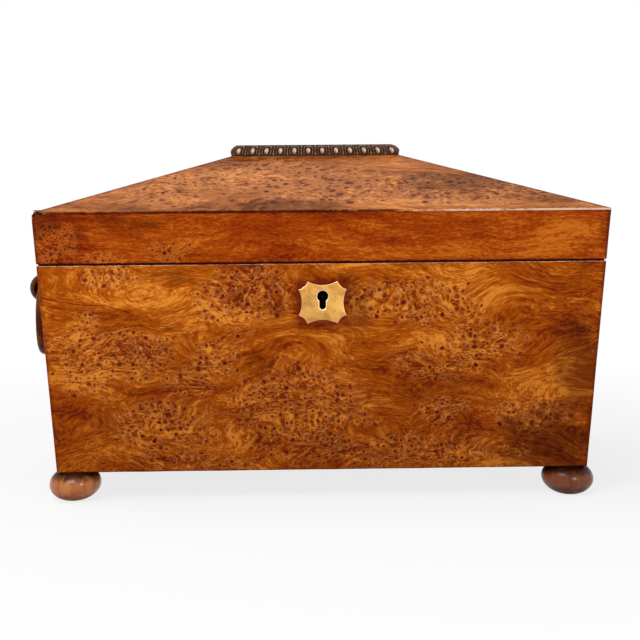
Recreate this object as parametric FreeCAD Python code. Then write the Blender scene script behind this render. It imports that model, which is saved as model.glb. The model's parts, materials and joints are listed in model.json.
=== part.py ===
"""A burl-veneered sarcophagus box with a hipped lid, brass lock furniture, ring handles and bun feet.

Millimetres, +Z up. The origin is on the surface the box stands on, at the middle of its four feet.
The front face, with the keyhole, looks towards -Y. Every piece is one node, written to parts/NODE.step.
"""

import FreeCAD
import Part
import math
import os
from FreeCAD import Placement, Rotation, Vector

# Outline: the lid's eaves are the widest line, and every wall leans in below them
LID_WIDTH = 305.0
LID_DEPTH = 215.0
WALL_LEAN = 4.0  # degrees from upright
BODY_HEIGHT = 112.0
RIM_HEIGHT = 26.6
ROOF_RISE = 28.8

# Woodwork: walls and their veneers are measured level, the roof and its veneers upright
WALL = 11.0
FLOOR = 9.0
VENEER = 1.0
ROOF_BOARD = 6.5
ROOF_VENEER = 1.1
SEAM_GAP = 0.8  # between the veneers of the lid and of the body

# Cap: a flat tablet with a carved egg-and-dart moulding round it
CAP_LENGTH = 96.0
CAP_DEPTH = 65.0
CAP_HEIGHT = 6.0
CAP_OVERHANG = 0.8
MOULDING_WIDTH = 8.0
MOULDING_FILLET = 0.9
MOULDING_FLAT = 0.8
CARVING_PITCH = 8.1
LOBE_LENGTH = 6.8
EGG_WIDTH = 4.6
EGG_RELIEF = 0.9
DART_WIDTH = 1.6
DART_RELIEF = 0.5

# Linings
LINING = 1.2
LINING_DROP = 4.0  # from the seam to the wall linings
FLOOR_PAD = 1.5
LID_PANEL = 2.0
LID_RECESS = 8.0  # from the seam up to the panel in the lid

# Feet
FOOT_DIAMETER = 28.5
FOOT_HEIGHT = 16.0
FOOT_NECK = 19.4
FOOT_FLAT = 10.0
FOOT_INSET = 9.0  # from the body's lower edge to the foot's axis
SPIGOT_DIAMETER = 9.0
SPIGOT_LENGTH = 7.0

# Ring handles
BOSS_DROP = 19.0  # from the seam down to the boss
BALL_DIAMETER = 16.8
BALL_SEAT = 1.9  # how far the ball sinks into its collar
COLLAR_DIAMETER = 21.0
COLLAR_HEIGHT = 2.5
STEM_DIAMETER = 8.0
STEM_LENGTH = 9.0
RING_DIAMETER = 42.8
RING_THICKNESS = 7.0
RING_EASE = 0.3

# Stopped butt hinges
HINGE_SPREAD = 170.0  # between the middles of the two hinges
HINGE_LENGTH = 45.0
LEAF_DEPTH = 9.5
LEAF_THICKNESS = 2.4
LEAF_GAP = 0.1  # from each leaf to the seam
LID_STOP = 100.6  # degrees, where the bevelled edges of the leaves meet
KNUCKLE_DIAMETER = 3.4
KNUCKLE_GAP = 0.2
HINGE_PIN_DIAMETER = 1.8
PIN_EASE = 0.05
HINGE_SCREW_SETBACK = 6.0
HINGE_SCREW_PITCH = 15.0
HINGE_SCREW_LENGTH = 9.0

# Screws
SCREW_HEAD = 3.6
SCREW_HEAD_HEIGHT = 1.2
SCREW_SHANK = 2.0
SCREW_SLOT = 0.5

# Escutcheon and keyhole
KEY_DROP = 18.0  # from the seam down to the key's axis
KEYHOLE_DIAMETER = 5.8
KEY_SLOT_WIDTH = 3.3
KEY_SLOT_DROP = 7.0
KEYHOLE_EASE = 0.3
ESCUTCHEON_WIDTH = 25.6
ESCUTCHEON_HEIGHT = 22.8
ESCUTCHEON_THICKNESS = 1.5
ESCUTCHEON_DROP = 3.3  # from the key's axis down to the plate's middle
NOTCH_WIDTH = 4.8
NOTCH_HEIGHT = 4.4
NOTCH_BOW = 0.9
SIDE_BOW = 1.7
END_BOW = 2.1

# Box lock, upright in the front wall and flush with its inner face at the seam
LOCK_PLATE_WIDTH = 72.0
LOCK_PLATE_HEIGHT = 32.0
LOCK_PLATE_THICKNESS = 1.2
LOCK_CASE_WIDTH = 60.0
LOCK_CASE_HEIGHT = 29.0
LOCK_CASE_DEPTH = 5.0
LOCK_CASE_WALL = 1.0
LOCK_FIT = 0.2
SELVEDGE_THICKNESS = 1.5
SELVEDGE_LIP = 0.9  # in front of the case
DRILL_PIN_DIAMETER = 2.4
DRILL_PIN_SETBACK = 0.2
LOCK_SCREW_EDGE = 3.0
LOCK_SCREW_DROP = 8.0
LOCK_SCREW_PITCH = 17.0
LOCK_SCREW_LENGTH = 6.0

# Link plate in the lid, with two staples for the bolt
LINK_PLATE_LENGTH = 56.0
LINK_PLATE_WIDTH = 6.2
LINK_PLATE_THICKNESS = 1.5
LINK_SCREW_SPREAD = 44.0
LINK_SCREW_LENGTH = 7.0
STAPLE_SPREAD = 28.0
STAPLE_THICKNESS = 2.5
STAPLE_WIDTH = 3.2
STAPLE_DROP = 8.2
STAPLE_EASE = 0.4
EYE_WIDTH = 1.8
EYE_HEIGHT = 3.2
EYE_DROP = 3.4

# Bolt: a bar with two fingers, drawn back from the staples
BOLT_THROW = 5.0
BOLT_THICKNESS = 1.3
BOLT_BAR_HEIGHT = 5.3
BOLT_BAR_CLEARANCE = 1.0  # below the staples
BOLT_TAIL = 3.0
FINGER_HEIGHT = 2.4
FINGER_CLEARANCE = 0.7  # from a finger's tip to its staple
FINGER_SPARE = 1.2  # length beyond the throw
POST_WIDTH = 3.0
TALON_WIDTH = 4.4
TALON_DEPTH = 1.9
SPRING_THICKNESS = 0.5
SPRING_LENGTH = 10.5
SPRING_FOOT = 2.5
SPRING_BOW = 1.2
SPRING_SETBACK = 4.0  # from the left staple's middle

# Levels and reference planes
LEAN = math.tan(math.radians(WALL_LEAN))
Z_BASE = FOOT_HEIGHT
Z_FLOOR = Z_BASE + FLOOR
Z_PAD = Z_FLOOR + FLOOR_PAD
Z_SEAM = Z_BASE + BODY_HEIGHT
Z_EAVE = Z_SEAM + RIM_HEIGHT
Z_DECK = Z_EAVE + ROOF_RISE
Z_CAP = Z_DECK + ROOF_VENEER
Z_KEY = Z_SEAM - KEY_DROP
Z_BOSS = Z_SEAM - BOSS_DROP
Z_SELVEDGE = Z_SEAM - LOCK_FIT
Z_LOCK = Z_SELVEDGE - SELVEDGE_THICKNESS
Z_LINK = Z_SEAM + LOCK_FIT
INNER = VENEER + WALL  # from the outer faces in to the boards' inner faces

SIDES = ("front", "right", "back", "left")
FRONT, RIGHT, BACK, LEFT = range(4)
CORNERS = ((-1, -1), (1, -1), (1, 1), (-1, 1))
X_AXIS = Vector(1, 0, 0)
Y_AXIS = Vector(0, 1, 0)
Z_AXIS = Vector(0, 0, 1)


def half_width(z):
    """From the middle to the outer side faces at a height."""
    return LID_WIDTH / 2 - (Z_EAVE - z) * LEAN


def half_depth(z):
    """From the middle to the outer front and back faces at a height."""
    return LID_DEPTH / 2 - (Z_EAVE - z) * LEAN


LOCK_BACK = INNER - half_depth(Z_SEAM)
LOCK_PLATE_FRONT = LOCK_BACK - LOCK_PLATE_THICKNESS
LOCK_FRONT = LOCK_PLATE_FRONT - LOCK_CASE_DEPTH
BOLT_Y = LOCK_PLATE_FRONT - (LOCK_CASE_DEPTH - LOCK_CASE_WALL) / 2
HINGE_Y = half_depth(Z_SEAM)
OUTSIDE = LID_WIDTH + LID_DEPTH  # farther out than any piece


# Shapes that the pieces are made of

def flat_face(points):
    """A flat face with straight sides through points in order."""
    return Part.Face(Part.makePolygon(points + points[:1]))


def block(lower, upper):
    """A solid with six flat faces between two sets of four points in the same order."""
    faces = [flat_face(lower[::-1]), flat_face(upper)]
    for i in range(4):
        j = (i + 1) % 4
        faces.append(flat_face([lower[i], lower[j], upper[j], upper[i]]))
    solid = Part.makeSolid(Part.makeShell(faces))
    if solid.Volume < 0:
        solid.reverse()
    return solid


def box(x0, x1, y0, y1, z0, z1):
    """A box between two corners."""
    return Part.makeBox(x1 - x0, y1 - y0, z1 - z0, Vector(x0, y0, z0))


def post(x, y, z0, z1, width, depth):
    """An upright box centred on x and y."""
    return box(x - width / 2, x + width / 2, y - depth / 2, y + depth / 2, z0, z1)


def arc(start, middle, end):
    """A circular arc through three points."""
    return Part.Arc(start, middle, end).toShape()


def ellipse_arc(centre, across, up, start, end):
    """An arc in the XZ plane of an ellipse with two half axes, between angles from +X towards +Z."""
    turns = [math.radians(angle) for angle in (start, (start + end) / 2, end)]
    circle = arc(*[Vector(math.cos(turn), 0, math.sin(turn)) for turn in turns])
    stretch = FreeCAD.Matrix()
    stretch.scale(across, 1, up)
    ellipse = circle.transformGeometry(stretch)
    ellipse.translate(centre)
    return ellipse.Edges[0]


def outline(*items):
    """A flat face bounded by curves and by straight lines through corner points, in order."""
    def ends(item):
        if isinstance(item, Vector):
            return item, item
        return item.valueAt(item.FirstParameter), item.valueAt(item.LastParameter)

    edges = []
    for item, following in zip(items, items[1:] + items[:1]):
        if not isinstance(item, Vector):
            edges.append(item)
        start = ends(item)[1]
        end = ends(following)[0]
        if start.distanceToPoint(end) > 1e-6:
            edges.append(Part.LineSegment(start, end).toShape())
    return Part.Face(Part.Wire(edges))


def turned(profile, axis=Z_AXIS):
    """A solid turned from a profile about an axis through the origin."""
    return profile.revolve(Vector(), axis, 360)


def placed(shape, position, rotation=Rotation()):
    """A copy of a shape that was made at the origin."""
    copy = shape.copy()
    copy.Placement = Placement(position, rotation).multiply(copy.Placement)
    return copy


def mirrored(shape):
    """The shape's twin on the other side of the box."""
    return shape.mirror(Vector(), X_AXIS)


def joined(shapes):
    """One solid from shapes that meet."""
    return shapes[0].multiFuse(shapes[1:]).removeSplitter()


def without(shape, cuts):
    """A shape with others cut away."""
    return shape.cut(Part.makeCompound(cuts)) if len(cuts) > 1 else shape.cut(cuts[0])


def screw_blank(length):
    """A countersunk screw with no slot, its head's face at the origin and its point towards -Z."""
    head = SCREW_HEAD / 2
    shank = SCREW_SHANK / 2
    return turned(outline(
        Vector(0, 0, 0),
        Vector(head, 0, 0),
        Vector(shank, 0, -SCREW_HEAD_HEIGHT),
        Vector(shank, 0, shank - length),
        Vector(0, 0, -length)))


def slotted(blank):
    """A screw with a slot across its head, at the origin."""
    slot = post(0, 0, -SCREW_SLOT, SCREW_SLOT, 2 * SCREW_HEAD, SCREW_SLOT)
    return blank.cut(slot)


# Woodwork

def corner(index, z, inset):
    """A corner of the outline at a height, moved in from both faces."""
    across, along = CORNERS[index % 4]
    return Vector(across * (half_width(z) - inset), along * (half_depth(z) - inset), z)


def wall(side, bottom, top, outer, inner):
    """One mitred, leaning side of the box between two heights and two insets."""
    def ring(z):
        return [corner(side, z, outer), corner(side + 1, z, outer),
                corner(side + 1, z, inner), corner(side, z, inner)]

    return block(ring(bottom), ring(top))


def slab(bottom, top, inset):
    """A level board that fills the outline between two heights."""
    return block([corner(i, bottom, inset) for i in range(4)], [corner(i, top, inset) for i in range(4)])


def roof_corner(index, share, lift):
    """A point above a hip, from the eaves at share 0 to the cap at share 1."""
    across, along = CORNERS[index % 4]
    eave_x, eave_y = LID_WIDTH / 2, LID_DEPTH / 2
    cap_x, cap_y = CAP_LENGTH / 2 - CAP_OVERHANG, CAP_DEPTH / 2 - CAP_OVERHANG
    return Vector(
        across * (eave_x + (cap_x - eave_x) * share),
        along * (eave_y + (cap_y - eave_y) * share),
        Z_EAVE + ROOF_RISE * share + lift)


def roof_panel(side, upper_lift, lower_lift, lower_share):
    """One slope of the roof, its lower face starting at a share of the way up the hips."""
    def ring(upper, lower):
        return [roof_corner(side, upper, upper_lift), roof_corner(side + 1, upper, upper_lift),
                roof_corner(side + 1, lower, lower_lift), roof_corner(side, lower, lower_lift)]

    return block(ring(0, lower_share), ring(1, 1))


def cap_tablet():
    """The board that closes the roof and fills the moulding."""
    plug_x, plug_y = CAP_LENGTH / 2 - CAP_OVERHANG, CAP_DEPTH / 2 - CAP_OVERHANG
    top_x, top_y = CAP_LENGTH / 2 - MOULDING_WIDTH, CAP_DEPTH / 2 - MOULDING_WIDTH
    plug = box(-plug_x, plug_x, -plug_y, plug_y, Z_DECK - ROOF_BOARD, Z_CAP)
    top = box(-top_x, top_x, -top_y, top_y, Z_CAP, Z_CAP + CAP_HEIGHT)
    return joined([plug, top])


# Half axes of the moulding's rounded section, and the middle of its curve
OVOLO_ACROSS = MOULDING_WIDTH - MOULDING_FLAT
OVOLO_UP = CAP_HEIGHT - MOULDING_FILLET
OVOLO_SLOPE = math.hypot(OVOLO_ACROSS, OVOLO_UP)


def lobe_seat(width, relief):
    """How far out and up on the moulding's section the middle of a carved lobe lies."""
    sink = width / 2 - relief
    out = MOULDING_FLAT + OVOLO_ACROSS * math.sqrt(0.5) - sink * OVOLO_UP / OVOLO_SLOPE
    up = MOULDING_FILLET + OVOLO_UP * math.sqrt(0.5) - sink * OVOLO_ACROSS / OVOLO_SLOPE
    return out, up


def lobe(width, heading):
    """A carved lobe at the origin, leaning back against the moulding, with its face towards a heading."""
    blank = turned(outline(ellipse_arc(Vector(), width / 2, LOBE_LENGTH / 2, -90, 90)))
    lean = Rotation(Z_AXIS, Vector(0, OVOLO_ACROSS, OVOLO_UP))
    return placed(blank, Vector(), Rotation(Z_AXIS, heading).multiply(lean))


def carved_run(length, depth, heading):
    """One side of the moulding with its eggs and darts, for a cap of this length and depth."""
    inner_y = MOULDING_WIDTH - depth / 2
    section = outline(
        Vector(0, 0, 0),
        Vector(MOULDING_WIDTH, 0, 0),
        ellipse_arc(Vector(MOULDING_FLAT, 0, MOULDING_FILLET), OVOLO_ACROSS, OVOLO_UP, 0, 90),
        Vector(0, 0, CAP_HEIGHT))
    run = placed(section, Vector(-length / 2, inner_y, Z_CAP), Rotation(Z_AXIS, -90))
    run = run.extrude(Vector(length, 0, 0))
    mitre = flat_face([
        Vector(-length / 2, -depth / 2, Z_CAP),
        Vector(length / 2, -depth / 2, Z_CAP),
        Vector(length / 2 - MOULDING_WIDTH, inner_y, Z_CAP),
        Vector(MOULDING_WIDTH - length / 2, inner_y, Z_CAP)])
    pieces = [run.common(mitre.extrude(Vector(0, 0, CAP_HEIGHT)))]

    egg_out, egg_up = lobe_seat(EGG_WIDTH, EGG_RELIEF)
    dart_out, dart_up = lobe_seat(DART_WIDTH, DART_RELIEF)
    end = length / 2 - MOULDING_WIDTH + egg_out
    gaps = max(1, round(2 * end / CARVING_PITCH))
    for i in range(gaps):
        x = (2 * end) * (i + 0.5) / gaps - end
        pieces.append(placed(lobe(DART_WIDTH, 0), Vector(x, inner_y - dart_out, Z_CAP + dart_up)))
    for i in range(1, gaps):
        x = (2 * end) * i / gaps - end
        pieces.append(placed(lobe(EGG_WIDTH, 0), Vector(x, inner_y - egg_out, Z_CAP + egg_up)))
    pieces.append(placed(lobe(EGG_WIDTH, 45), Vector(end, inner_y - egg_out, Z_CAP + egg_up)))
    return [placed(piece, Vector(), Rotation(Z_AXIS, heading)) for piece in pieces]


def cap_moulding(tablet):
    """The carved frame round the tablet, with an egg on each corner."""
    pieces = []
    for i in range(4):
        sizes = (CAP_LENGTH, CAP_DEPTH) if i % 2 == 0 else (CAP_DEPTH, CAP_LENGTH)
        pieces += carved_run(*sizes, 90 * i)
    room = box(-OUTSIDE, OUTSIDE, -OUTSIDE, OUTSIDE, Z_CAP, Z_CAP + CAP_HEIGHT)
    return joined(pieces).common(room).cut(tablet)


# Feet and handles

def foot():
    """A bun foot standing at the origin, with the spigot that holds it."""
    neck = math.sqrt(1 - (FOOT_NECK / FOOT_DIAMETER) ** 2)
    sole = math.sqrt(1 - (FOOT_FLAT / FOOT_DIAMETER) ** 2)
    half_height = FOOT_HEIGHT / (neck + sole)
    bun = ellipse_arc(
        Vector(0, 0, half_height * sole), FOOT_DIAMETER / 2, half_height,
        -math.degrees(math.asin(sole)), math.degrees(math.asin(neck)))
    top = FOOT_HEIGHT + SPIGOT_LENGTH
    return turned(outline(
        Vector(0, 0, 0),
        bun,
        Vector(SPIGOT_DIAMETER / 2, 0, FOOT_HEIGHT),
        Vector(SPIGOT_DIAMETER / 2, 0, top),
        Vector(0, 0, top)))


def foot_positions():
    """Where the feet stand, by name."""
    x = half_width(Z_BASE) - FOOT_INSET
    y = half_depth(Z_BASE) - FOOT_INSET
    names = ("front_left", "front_right", "back_right", "back_left")
    return {name: Vector(across * x, along * y, 0) for name, (across, along) in zip(names, CORNERS)}


BALL_RISE = COLLAR_HEIGHT + BALL_DIAMETER / 2 - BALL_SEAT
RING_RADIUS = (RING_DIAMETER - RING_THICKNESS) / 2
BOSS_SEAT = Placement(Vector(half_width(Z_BOSS), 0, Z_BOSS), Rotation(Y_AXIS, 90 + WALL_LEAN))
RING_PIVOT = BOSS_SEAT.multVec(Vector(0, 0, BALL_RISE))


def boss_stem():
    """The boss's stem in the right wall."""
    stem = Part.makeCylinder(STEM_DIAMETER / 2, STEM_LENGTH, Vector(0, 0, -STEM_LENGTH))
    return placed(stem, BOSS_SEAT.Base, BOSS_SEAT.Rotation)


def ring_hole():
    """The flared hole through the ball at the origin, along Y, that lets the ring swing."""
    reach = BALL_DIAMETER / 2 + 1
    flare = RING_RADIUS - RING_THICKNESS / 2 - RING_EASE
    mouth = RING_RADIUS - math.sqrt(flare ** 2 - reach ** 2)
    curve = arc(Vector(0, reach, mouth), Vector(0, 0, RING_RADIUS - flare), Vector(0, -reach, mouth))
    return turned(outline(Vector(0, -reach, 0), Vector(0, reach, 0), curve), Y_AXIS)


def boss():
    """The right-hand boss: a pierced ball on a collar, with a stem in the wall."""
    ball = BALL_DIAMETER / 2
    centre = Vector(0, 0, BALL_RISE)
    start = math.asin((COLLAR_HEIGHT - BALL_RISE) / ball)
    middle = (start + math.pi / 2) / 2

    def on_ball(turn):
        return centre + Vector(ball * math.cos(turn), 0, ball * math.sin(turn))

    rim = COLLAR_DIAMETER / 2
    shoulder = rim - COLLAR_HEIGHT / 2
    collar = arc(Vector(shoulder, 0, 0), Vector(rim, 0, COLLAR_HEIGHT / 2), Vector(shoulder, 0, COLLAR_HEIGHT))
    solid = turned(outline(
        Vector(0, 0, -STEM_LENGTH),
        Vector(STEM_DIAMETER / 2, 0, -STEM_LENGTH),
        Vector(STEM_DIAMETER / 2, 0, 0),
        collar,
        arc(on_ball(start), on_ball(middle), on_ball(math.pi / 2))))
    pierced = solid.cut(placed(ring_hole(), centre))
    return placed(pierced, BOSS_SEAT.Base, BOSS_SEAT.Rotation)


def ring():
    """The right-hand ring, hanging from its boss."""
    return Part.makeTorus(RING_RADIUS, RING_THICKNESS / 2, RING_PIVOT - Vector(0, 0, RING_RADIUS), X_AXIS)


# Hinges

def along_hinge(diameter, start, end):
    """A cylinder on the hinge's axis between two distances from the hinge's middle."""
    return Part.makeCylinder(diameter / 2, end - start, Vector(start, HINGE_Y, Z_SEAM), X_AXIS)


def hinge_leaf(up, own, other):
    """A leaf below (-1) or above (1) the seam, with its own knuckles and room for the other leaf's."""
    slope = math.tan(math.radians(LID_STOP / 2))
    section = [
        Vector(-HINGE_LENGTH / 2, HINGE_Y + y, Z_SEAM + up * z) for y, z in (
            (-LEAF_DEPTH, LEAF_GAP),
            (LEAF_GAP / slope, LEAF_GAP),
            (LEAF_THICKNESS / slope, LEAF_THICKNESS),
            (-LEAF_DEPTH, LEAF_THICKNESS))]
    plate = flat_face(section).extrude(Vector(HINGE_LENGTH, 0, 0))
    room = KNUCKLE_DIAMETER + 2 * KNUCKLE_GAP
    plate = without(plate, [along_hinge(room, start, end) for start, end in other])
    leaf = joined([plate] + [along_hinge(KNUCKLE_DIAMETER, start, end) for start, end in own])
    return leaf.cut(along_hinge(HINGE_PIN_DIAMETER + 2 * PIN_EASE, -HINGE_LENGTH, HINGE_LENGTH))


def hinge_shapes():
    """Body leaf, lid leaf and pin of a hinge in the middle of the box."""
    end = HINGE_LENGTH / 2
    near = end / 3 - KNUCKLE_GAP / 2
    far = end / 3 + KNUCKLE_GAP / 2
    body = hinge_leaf(-1, [(-near, near)], [(-end, -near), (near, end)])
    lid = hinge_leaf(1, [(-end, -far), (far, end)], [(-far, far)])
    return body, lid, along_hinge(HINGE_PIN_DIAMETER, -end, end)


def hinge_screw_positions(x):
    """Where the screws of a hinge at x lie, on the level of the seam."""
    return [Vector(x + i * HINGE_SCREW_PITCH, HINGE_Y - HINGE_SCREW_SETBACK, Z_SEAM) for i in (-1, 0, 1)]


def hinge_pocket(x, bottom, top):
    """The recess that a leaf lies in."""
    half = HINGE_LENGTH / 2
    return box(x - half, x + half, HINGE_Y - LEAF_DEPTH, OUTSIDE, bottom, top)


# Escutcheon and lock

def escutcheon_blank(proud):
    """The escutcheon with no keyhole, let into the front and standing proud of it."""
    half_w, half_h = ESCUTCHEON_WIDTH / 2, ESCUTCHEON_HEIGHT / 2
    tips = []
    for i, (across, up) in enumerate(CORNERS):
        side_tip = Vector(across * half_w, up * (half_h - NOTCH_HEIGHT), 0)
        end_tip = Vector(across * (half_w - NOTCH_WIDTH), up * half_h, 0)
        tips.append((side_tip, end_tip) if i % 2 == 0 else (end_tip, side_tip))
    curves = []
    for i, (across, up) in enumerate(CORNERS):
        first, second = tips[i]
        inward = Vector(-across * NOTCH_HEIGHT, -up * NOTCH_WIDTH, 0).normalize()
        curves.append(arc(first, (first + second) * 0.5 + inward * NOTCH_BOW, second))
        middle = Vector(0, up * (half_h - END_BOW), 0)
        if i % 2 == 1:
            middle = Vector(across * (half_w - SIDE_BOW), 0, 0)
        curves.append(arc(second, middle, tips[(i + 1) % 4][0]))
    plate = placed(outline(*curves), Vector(0, -ESCUTCHEON_DROP, -ESCUTCHEON_THICKNESS))
    plate = plate.extrude(Vector(0, 0, ESCUTCHEON_THICKNESS + proud))
    return placed(plate, Vector(0, -half_depth(Z_KEY), Z_KEY), Rotation(X_AXIS, 90 + WALL_LEAN))


def keyhole(ease):
    """The keyhole's room, from in front of the box to the lock's plate."""
    start = Vector(0, -OUTSIDE, Z_KEY)
    length = LOCK_PLATE_FRONT + OUTSIDE
    half_slot = KEY_SLOT_WIDTH / 2 + ease
    foot_z = Z_KEY - KEY_SLOT_DROP + KEY_SLOT_WIDTH / 2
    head = Part.makeCylinder(KEYHOLE_DIAMETER / 2 + ease, length, start, Y_AXIS)
    slot = box(-half_slot, half_slot, -OUTSIDE, LOCK_PLATE_FRONT, foot_z, Z_KEY)
    end = Part.makeCylinder(half_slot, length, Vector(0, -OUTSIDE, foot_z), Y_AXIS)
    return joined([head, slot, end])


def lock_mortise():
    """The room for the lock in the front wall."""
    half_plate = LOCK_PLATE_WIDTH / 2
    half_case = LOCK_CASE_WIDTH / 2 + LOCK_FIT
    above = Z_SEAM + 1
    plate = box(-half_plate, half_plate, LOCK_PLATE_FRONT, 0, Z_SELVEDGE - LOCK_PLATE_HEIGHT, above)
    selvedge = box(-half_plate, half_plate, LOCK_FRONT - SELVEDGE_LIP, 0, Z_LOCK, above)
    case_bottom = Z_LOCK - LOCK_CASE_HEIGHT - LOCK_FIT
    case = box(-half_case, half_case, LOCK_FRONT - LOCK_FIT, 0, case_bottom, above)
    return joined([plate, selvedge, case])


def staple_positions():
    """Where the staples hang, from left to right."""
    return (-STAPLE_SPREAD / 2, STAPLE_SPREAD / 2)


def lock_plate(screws):
    """The plate inside the box, with its selvedge along the wall's top edge."""
    half = LOCK_PLATE_WIDTH / 2
    plate = box(-half, half, LOCK_PLATE_FRONT, LOCK_BACK, Z_SELVEDGE - LOCK_PLATE_HEIGHT, Z_SELVEDGE)
    selvedge = box(-half, half, LOCK_FRONT - SELVEDGE_LIP, LOCK_PLATE_FRONT, Z_LOCK, Z_SELVEDGE)
    width = STAPLE_THICKNESS + 2 * STAPLE_EASE
    depth = STAPLE_WIDTH + 2 * STAPLE_EASE
    slots = [post(x, BOLT_Y, Z_LOCK - 1, Z_SEAM, width, depth) for x in staple_positions()]
    return without(joined([plate, selvedge]), slots + screws)


def lock_case():
    """The shallow pan in front of the plate that the bolt runs in."""
    half = LOCK_CASE_WIDTH / 2
    inner = half - LOCK_CASE_WALL
    bottom = Z_LOCK - LOCK_CASE_HEIGHT
    pan = box(-half, half, LOCK_FRONT, LOCK_PLATE_FRONT, bottom, Z_LOCK)
    room = box(-inner, inner, LOCK_FRONT + LOCK_CASE_WALL, 0, bottom + LOCK_CASE_WALL, Z_SEAM)
    return without(pan, [room, keyhole(0)])


def drill_pin():
    """The pin that the key turns on."""
    length = LOCK_CASE_DEPTH - DRILL_PIN_SETBACK
    return Part.makeCylinder(DRILL_PIN_DIAMETER / 2, length, Vector(0, LOCK_PLATE_FRONT, Z_KEY), -Y_AXIS)


def lock_screw_seats():
    """Where the lock's screws lie."""
    x = LOCK_PLATE_WIDTH / 2 - LOCK_SCREW_EDGE
    z = Z_SELVEDGE - LOCK_SCREW_DROP
    turn = Rotation(X_AXIS, -90)
    return [Placement(Vector(side * x, LOCK_BACK, z - row * LOCK_SCREW_PITCH), turn)
            for side in (-1, 1) for row in (0, 1)]


BAR_TOP = Z_LINK - STAPLE_DROP - BOLT_BAR_CLEARANCE
BAR_BOTTOM = BAR_TOP - BOLT_BAR_HEIGHT
EYE_MIDDLE = Z_LINK - EYE_DROP - EYE_HEIGHT / 2


def lock_bolt():
    """The bolt, drawn back: a bar with a finger beside each staple and a talon for the key."""
    half = BOLT_THICKNESS / 2
    finger_bottom = EYE_MIDDLE - FINGER_HEIGHT / 2
    finger_top = EYE_MIDDLE + FINGER_HEIGHT / 2
    pieces = []
    starts = []
    for x in staple_positions():
        tip = x - STAPLE_THICKNESS / 2 - FINGER_CLEARANCE
        root = tip - BOLT_THROW - FINGER_SPARE
        starts.append(root - POST_WIDTH)
        pieces.append(box(root - POST_WIDTH, tip, BOLT_Y - half, BOLT_Y + half, finger_bottom, finger_top))
        pieces.append(box(root - POST_WIDTH, root, BOLT_Y - half, BOLT_Y + half, BAR_TOP, finger_top))
    pieces.append(box(starts[0], tip + BOLT_TAIL, BOLT_Y - half, BOLT_Y + half, BAR_BOTTOM, BAR_TOP))
    talon = post(0, BOLT_Y, BAR_BOTTOM, BAR_BOTTOM + TALON_DEPTH, TALON_WIDTH, 2 * BOLT_THICKNESS)
    return joined(pieces).cut(talon)


def bolt_spring():
    """The leaf spring on the bolt, bearing up towards the selvedge."""
    y = BOLT_Y - BOLT_THICKNESS / 2
    root = SPRING_SETBACK - STAPLE_SPREAD / 2
    tip = root + SPRING_LENGTH
    tip_z = Z_LOCK - LOCK_FIT - SPRING_THICKNESS
    middle = Vector((root + tip) / 2, y, (BAR_TOP + tip_z) / 2 + SPRING_BOW)
    thick = Vector(0, 0, SPRING_THICKNESS)
    heel = Vector(root - SPRING_FOOT, y, BAR_TOP)
    start = Vector(root, y, BAR_TOP)
    end = Vector(tip, y, tip_z)
    face = outline(heel, arc(start, middle, end), arc(end + thick, middle + thick, start + thick), heel + thick)
    return face.extrude(Vector(0, BOLT_THICKNESS, 0))


def link_plate(screws):
    """The plate under the lid's front rim, with its two pierced staples."""
    plate = post(0, BOLT_Y, Z_LINK, Z_LINK + LINK_PLATE_THICKNESS, LINK_PLATE_LENGTH, LINK_PLATE_WIDTH)
    staples = []
    eyes = []
    for x in staple_positions():
        staples.append(post(x, BOLT_Y, Z_LINK - STAPLE_DROP, Z_LINK, STAPLE_THICKNESS, STAPLE_WIDTH))
        eyes.append(post(
            x, BOLT_Y, EYE_MIDDLE - EYE_HEIGHT / 2, EYE_MIDDLE + EYE_HEIGHT / 2, 2 * STAPLE_THICKNESS, EYE_WIDTH))
    return without(joined([plate] + staples), eyes + screws)


def link_screw_seats():
    """Where the link plate's screws lie, pointing up."""
    turn = Rotation(X_AXIS, 180)
    return [Placement(Vector(side * LINK_SCREW_SPREAD / 2, BOLT_Y, Z_LINK), turn) for side in (-1, 1)]


# Pieces

def at_seats(shape, seats):
    """Copies of a shape at several seats."""
    return [placed(shape, seat.Base, seat.Rotation) for seat in seats]


def body_woodwork():
    """Boards, veneers and linings of the body, not yet cut for the fittings."""
    nodes = {"bottom_board": slab(Z_BASE, Z_FLOOR, VENEER), "floor_pad": slab(Z_FLOOR, Z_PAD, INNER)}
    for side, name in enumerate(SIDES):
        nodes[name + "_board"] = wall(side, Z_FLOOR, Z_SEAM, VENEER, INNER)
        nodes[name + "_veneer"] = wall(side, Z_BASE, Z_SEAM - SEAM_GAP / 2, 0, VENEER)
        nodes[name + "_lining"] = wall(side, Z_PAD, Z_SEAM - LINING_DROP, INNER, INNER + LINING)
    return nodes


def lid_woodwork():
    """Rims, roof, cap and lining of the lid, not yet cut for the fittings."""
    nodes = {"lid_panel": slab(Z_SEAM + LID_RECESS, Z_SEAM + LID_RECESS + LID_PANEL, INNER)}
    for side, name in enumerate(SIDES):
        nodes["lid_" + name + "_rim"] = wall(side, Z_SEAM, Z_EAVE, VENEER, INNER)
        nodes["lid_" + name + "_rim_veneer"] = wall(side, Z_SEAM + SEAM_GAP / 2, Z_EAVE, 0, VENEER)
        nodes["roof_" + name + "_board"] = roof_panel(side, 0, -ROOF_BOARD, ROOF_BOARD / ROOF_RISE)
        nodes["roof_" + name + "_veneer"] = roof_panel(side, ROOF_VENEER, 0, 0)
    nodes["cap_tablet"] = cap_tablet()
    nodes["cap_moulding"] = cap_moulding(nodes["cap_tablet"])
    return nodes


def add_feet(nodes):
    """Feet, with their spigots let into the bottom board."""
    for name, position in foot_positions().items():
        nodes[name + "_foot"] = placed(foot(), position)
        spigot = Part.makeCylinder(SPIGOT_DIAMETER / 2, SPIGOT_LENGTH, position + Vector(0, 0, FOOT_HEIGHT))
        nodes["bottom_board"] = nodes["bottom_board"].cut(spigot)


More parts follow.
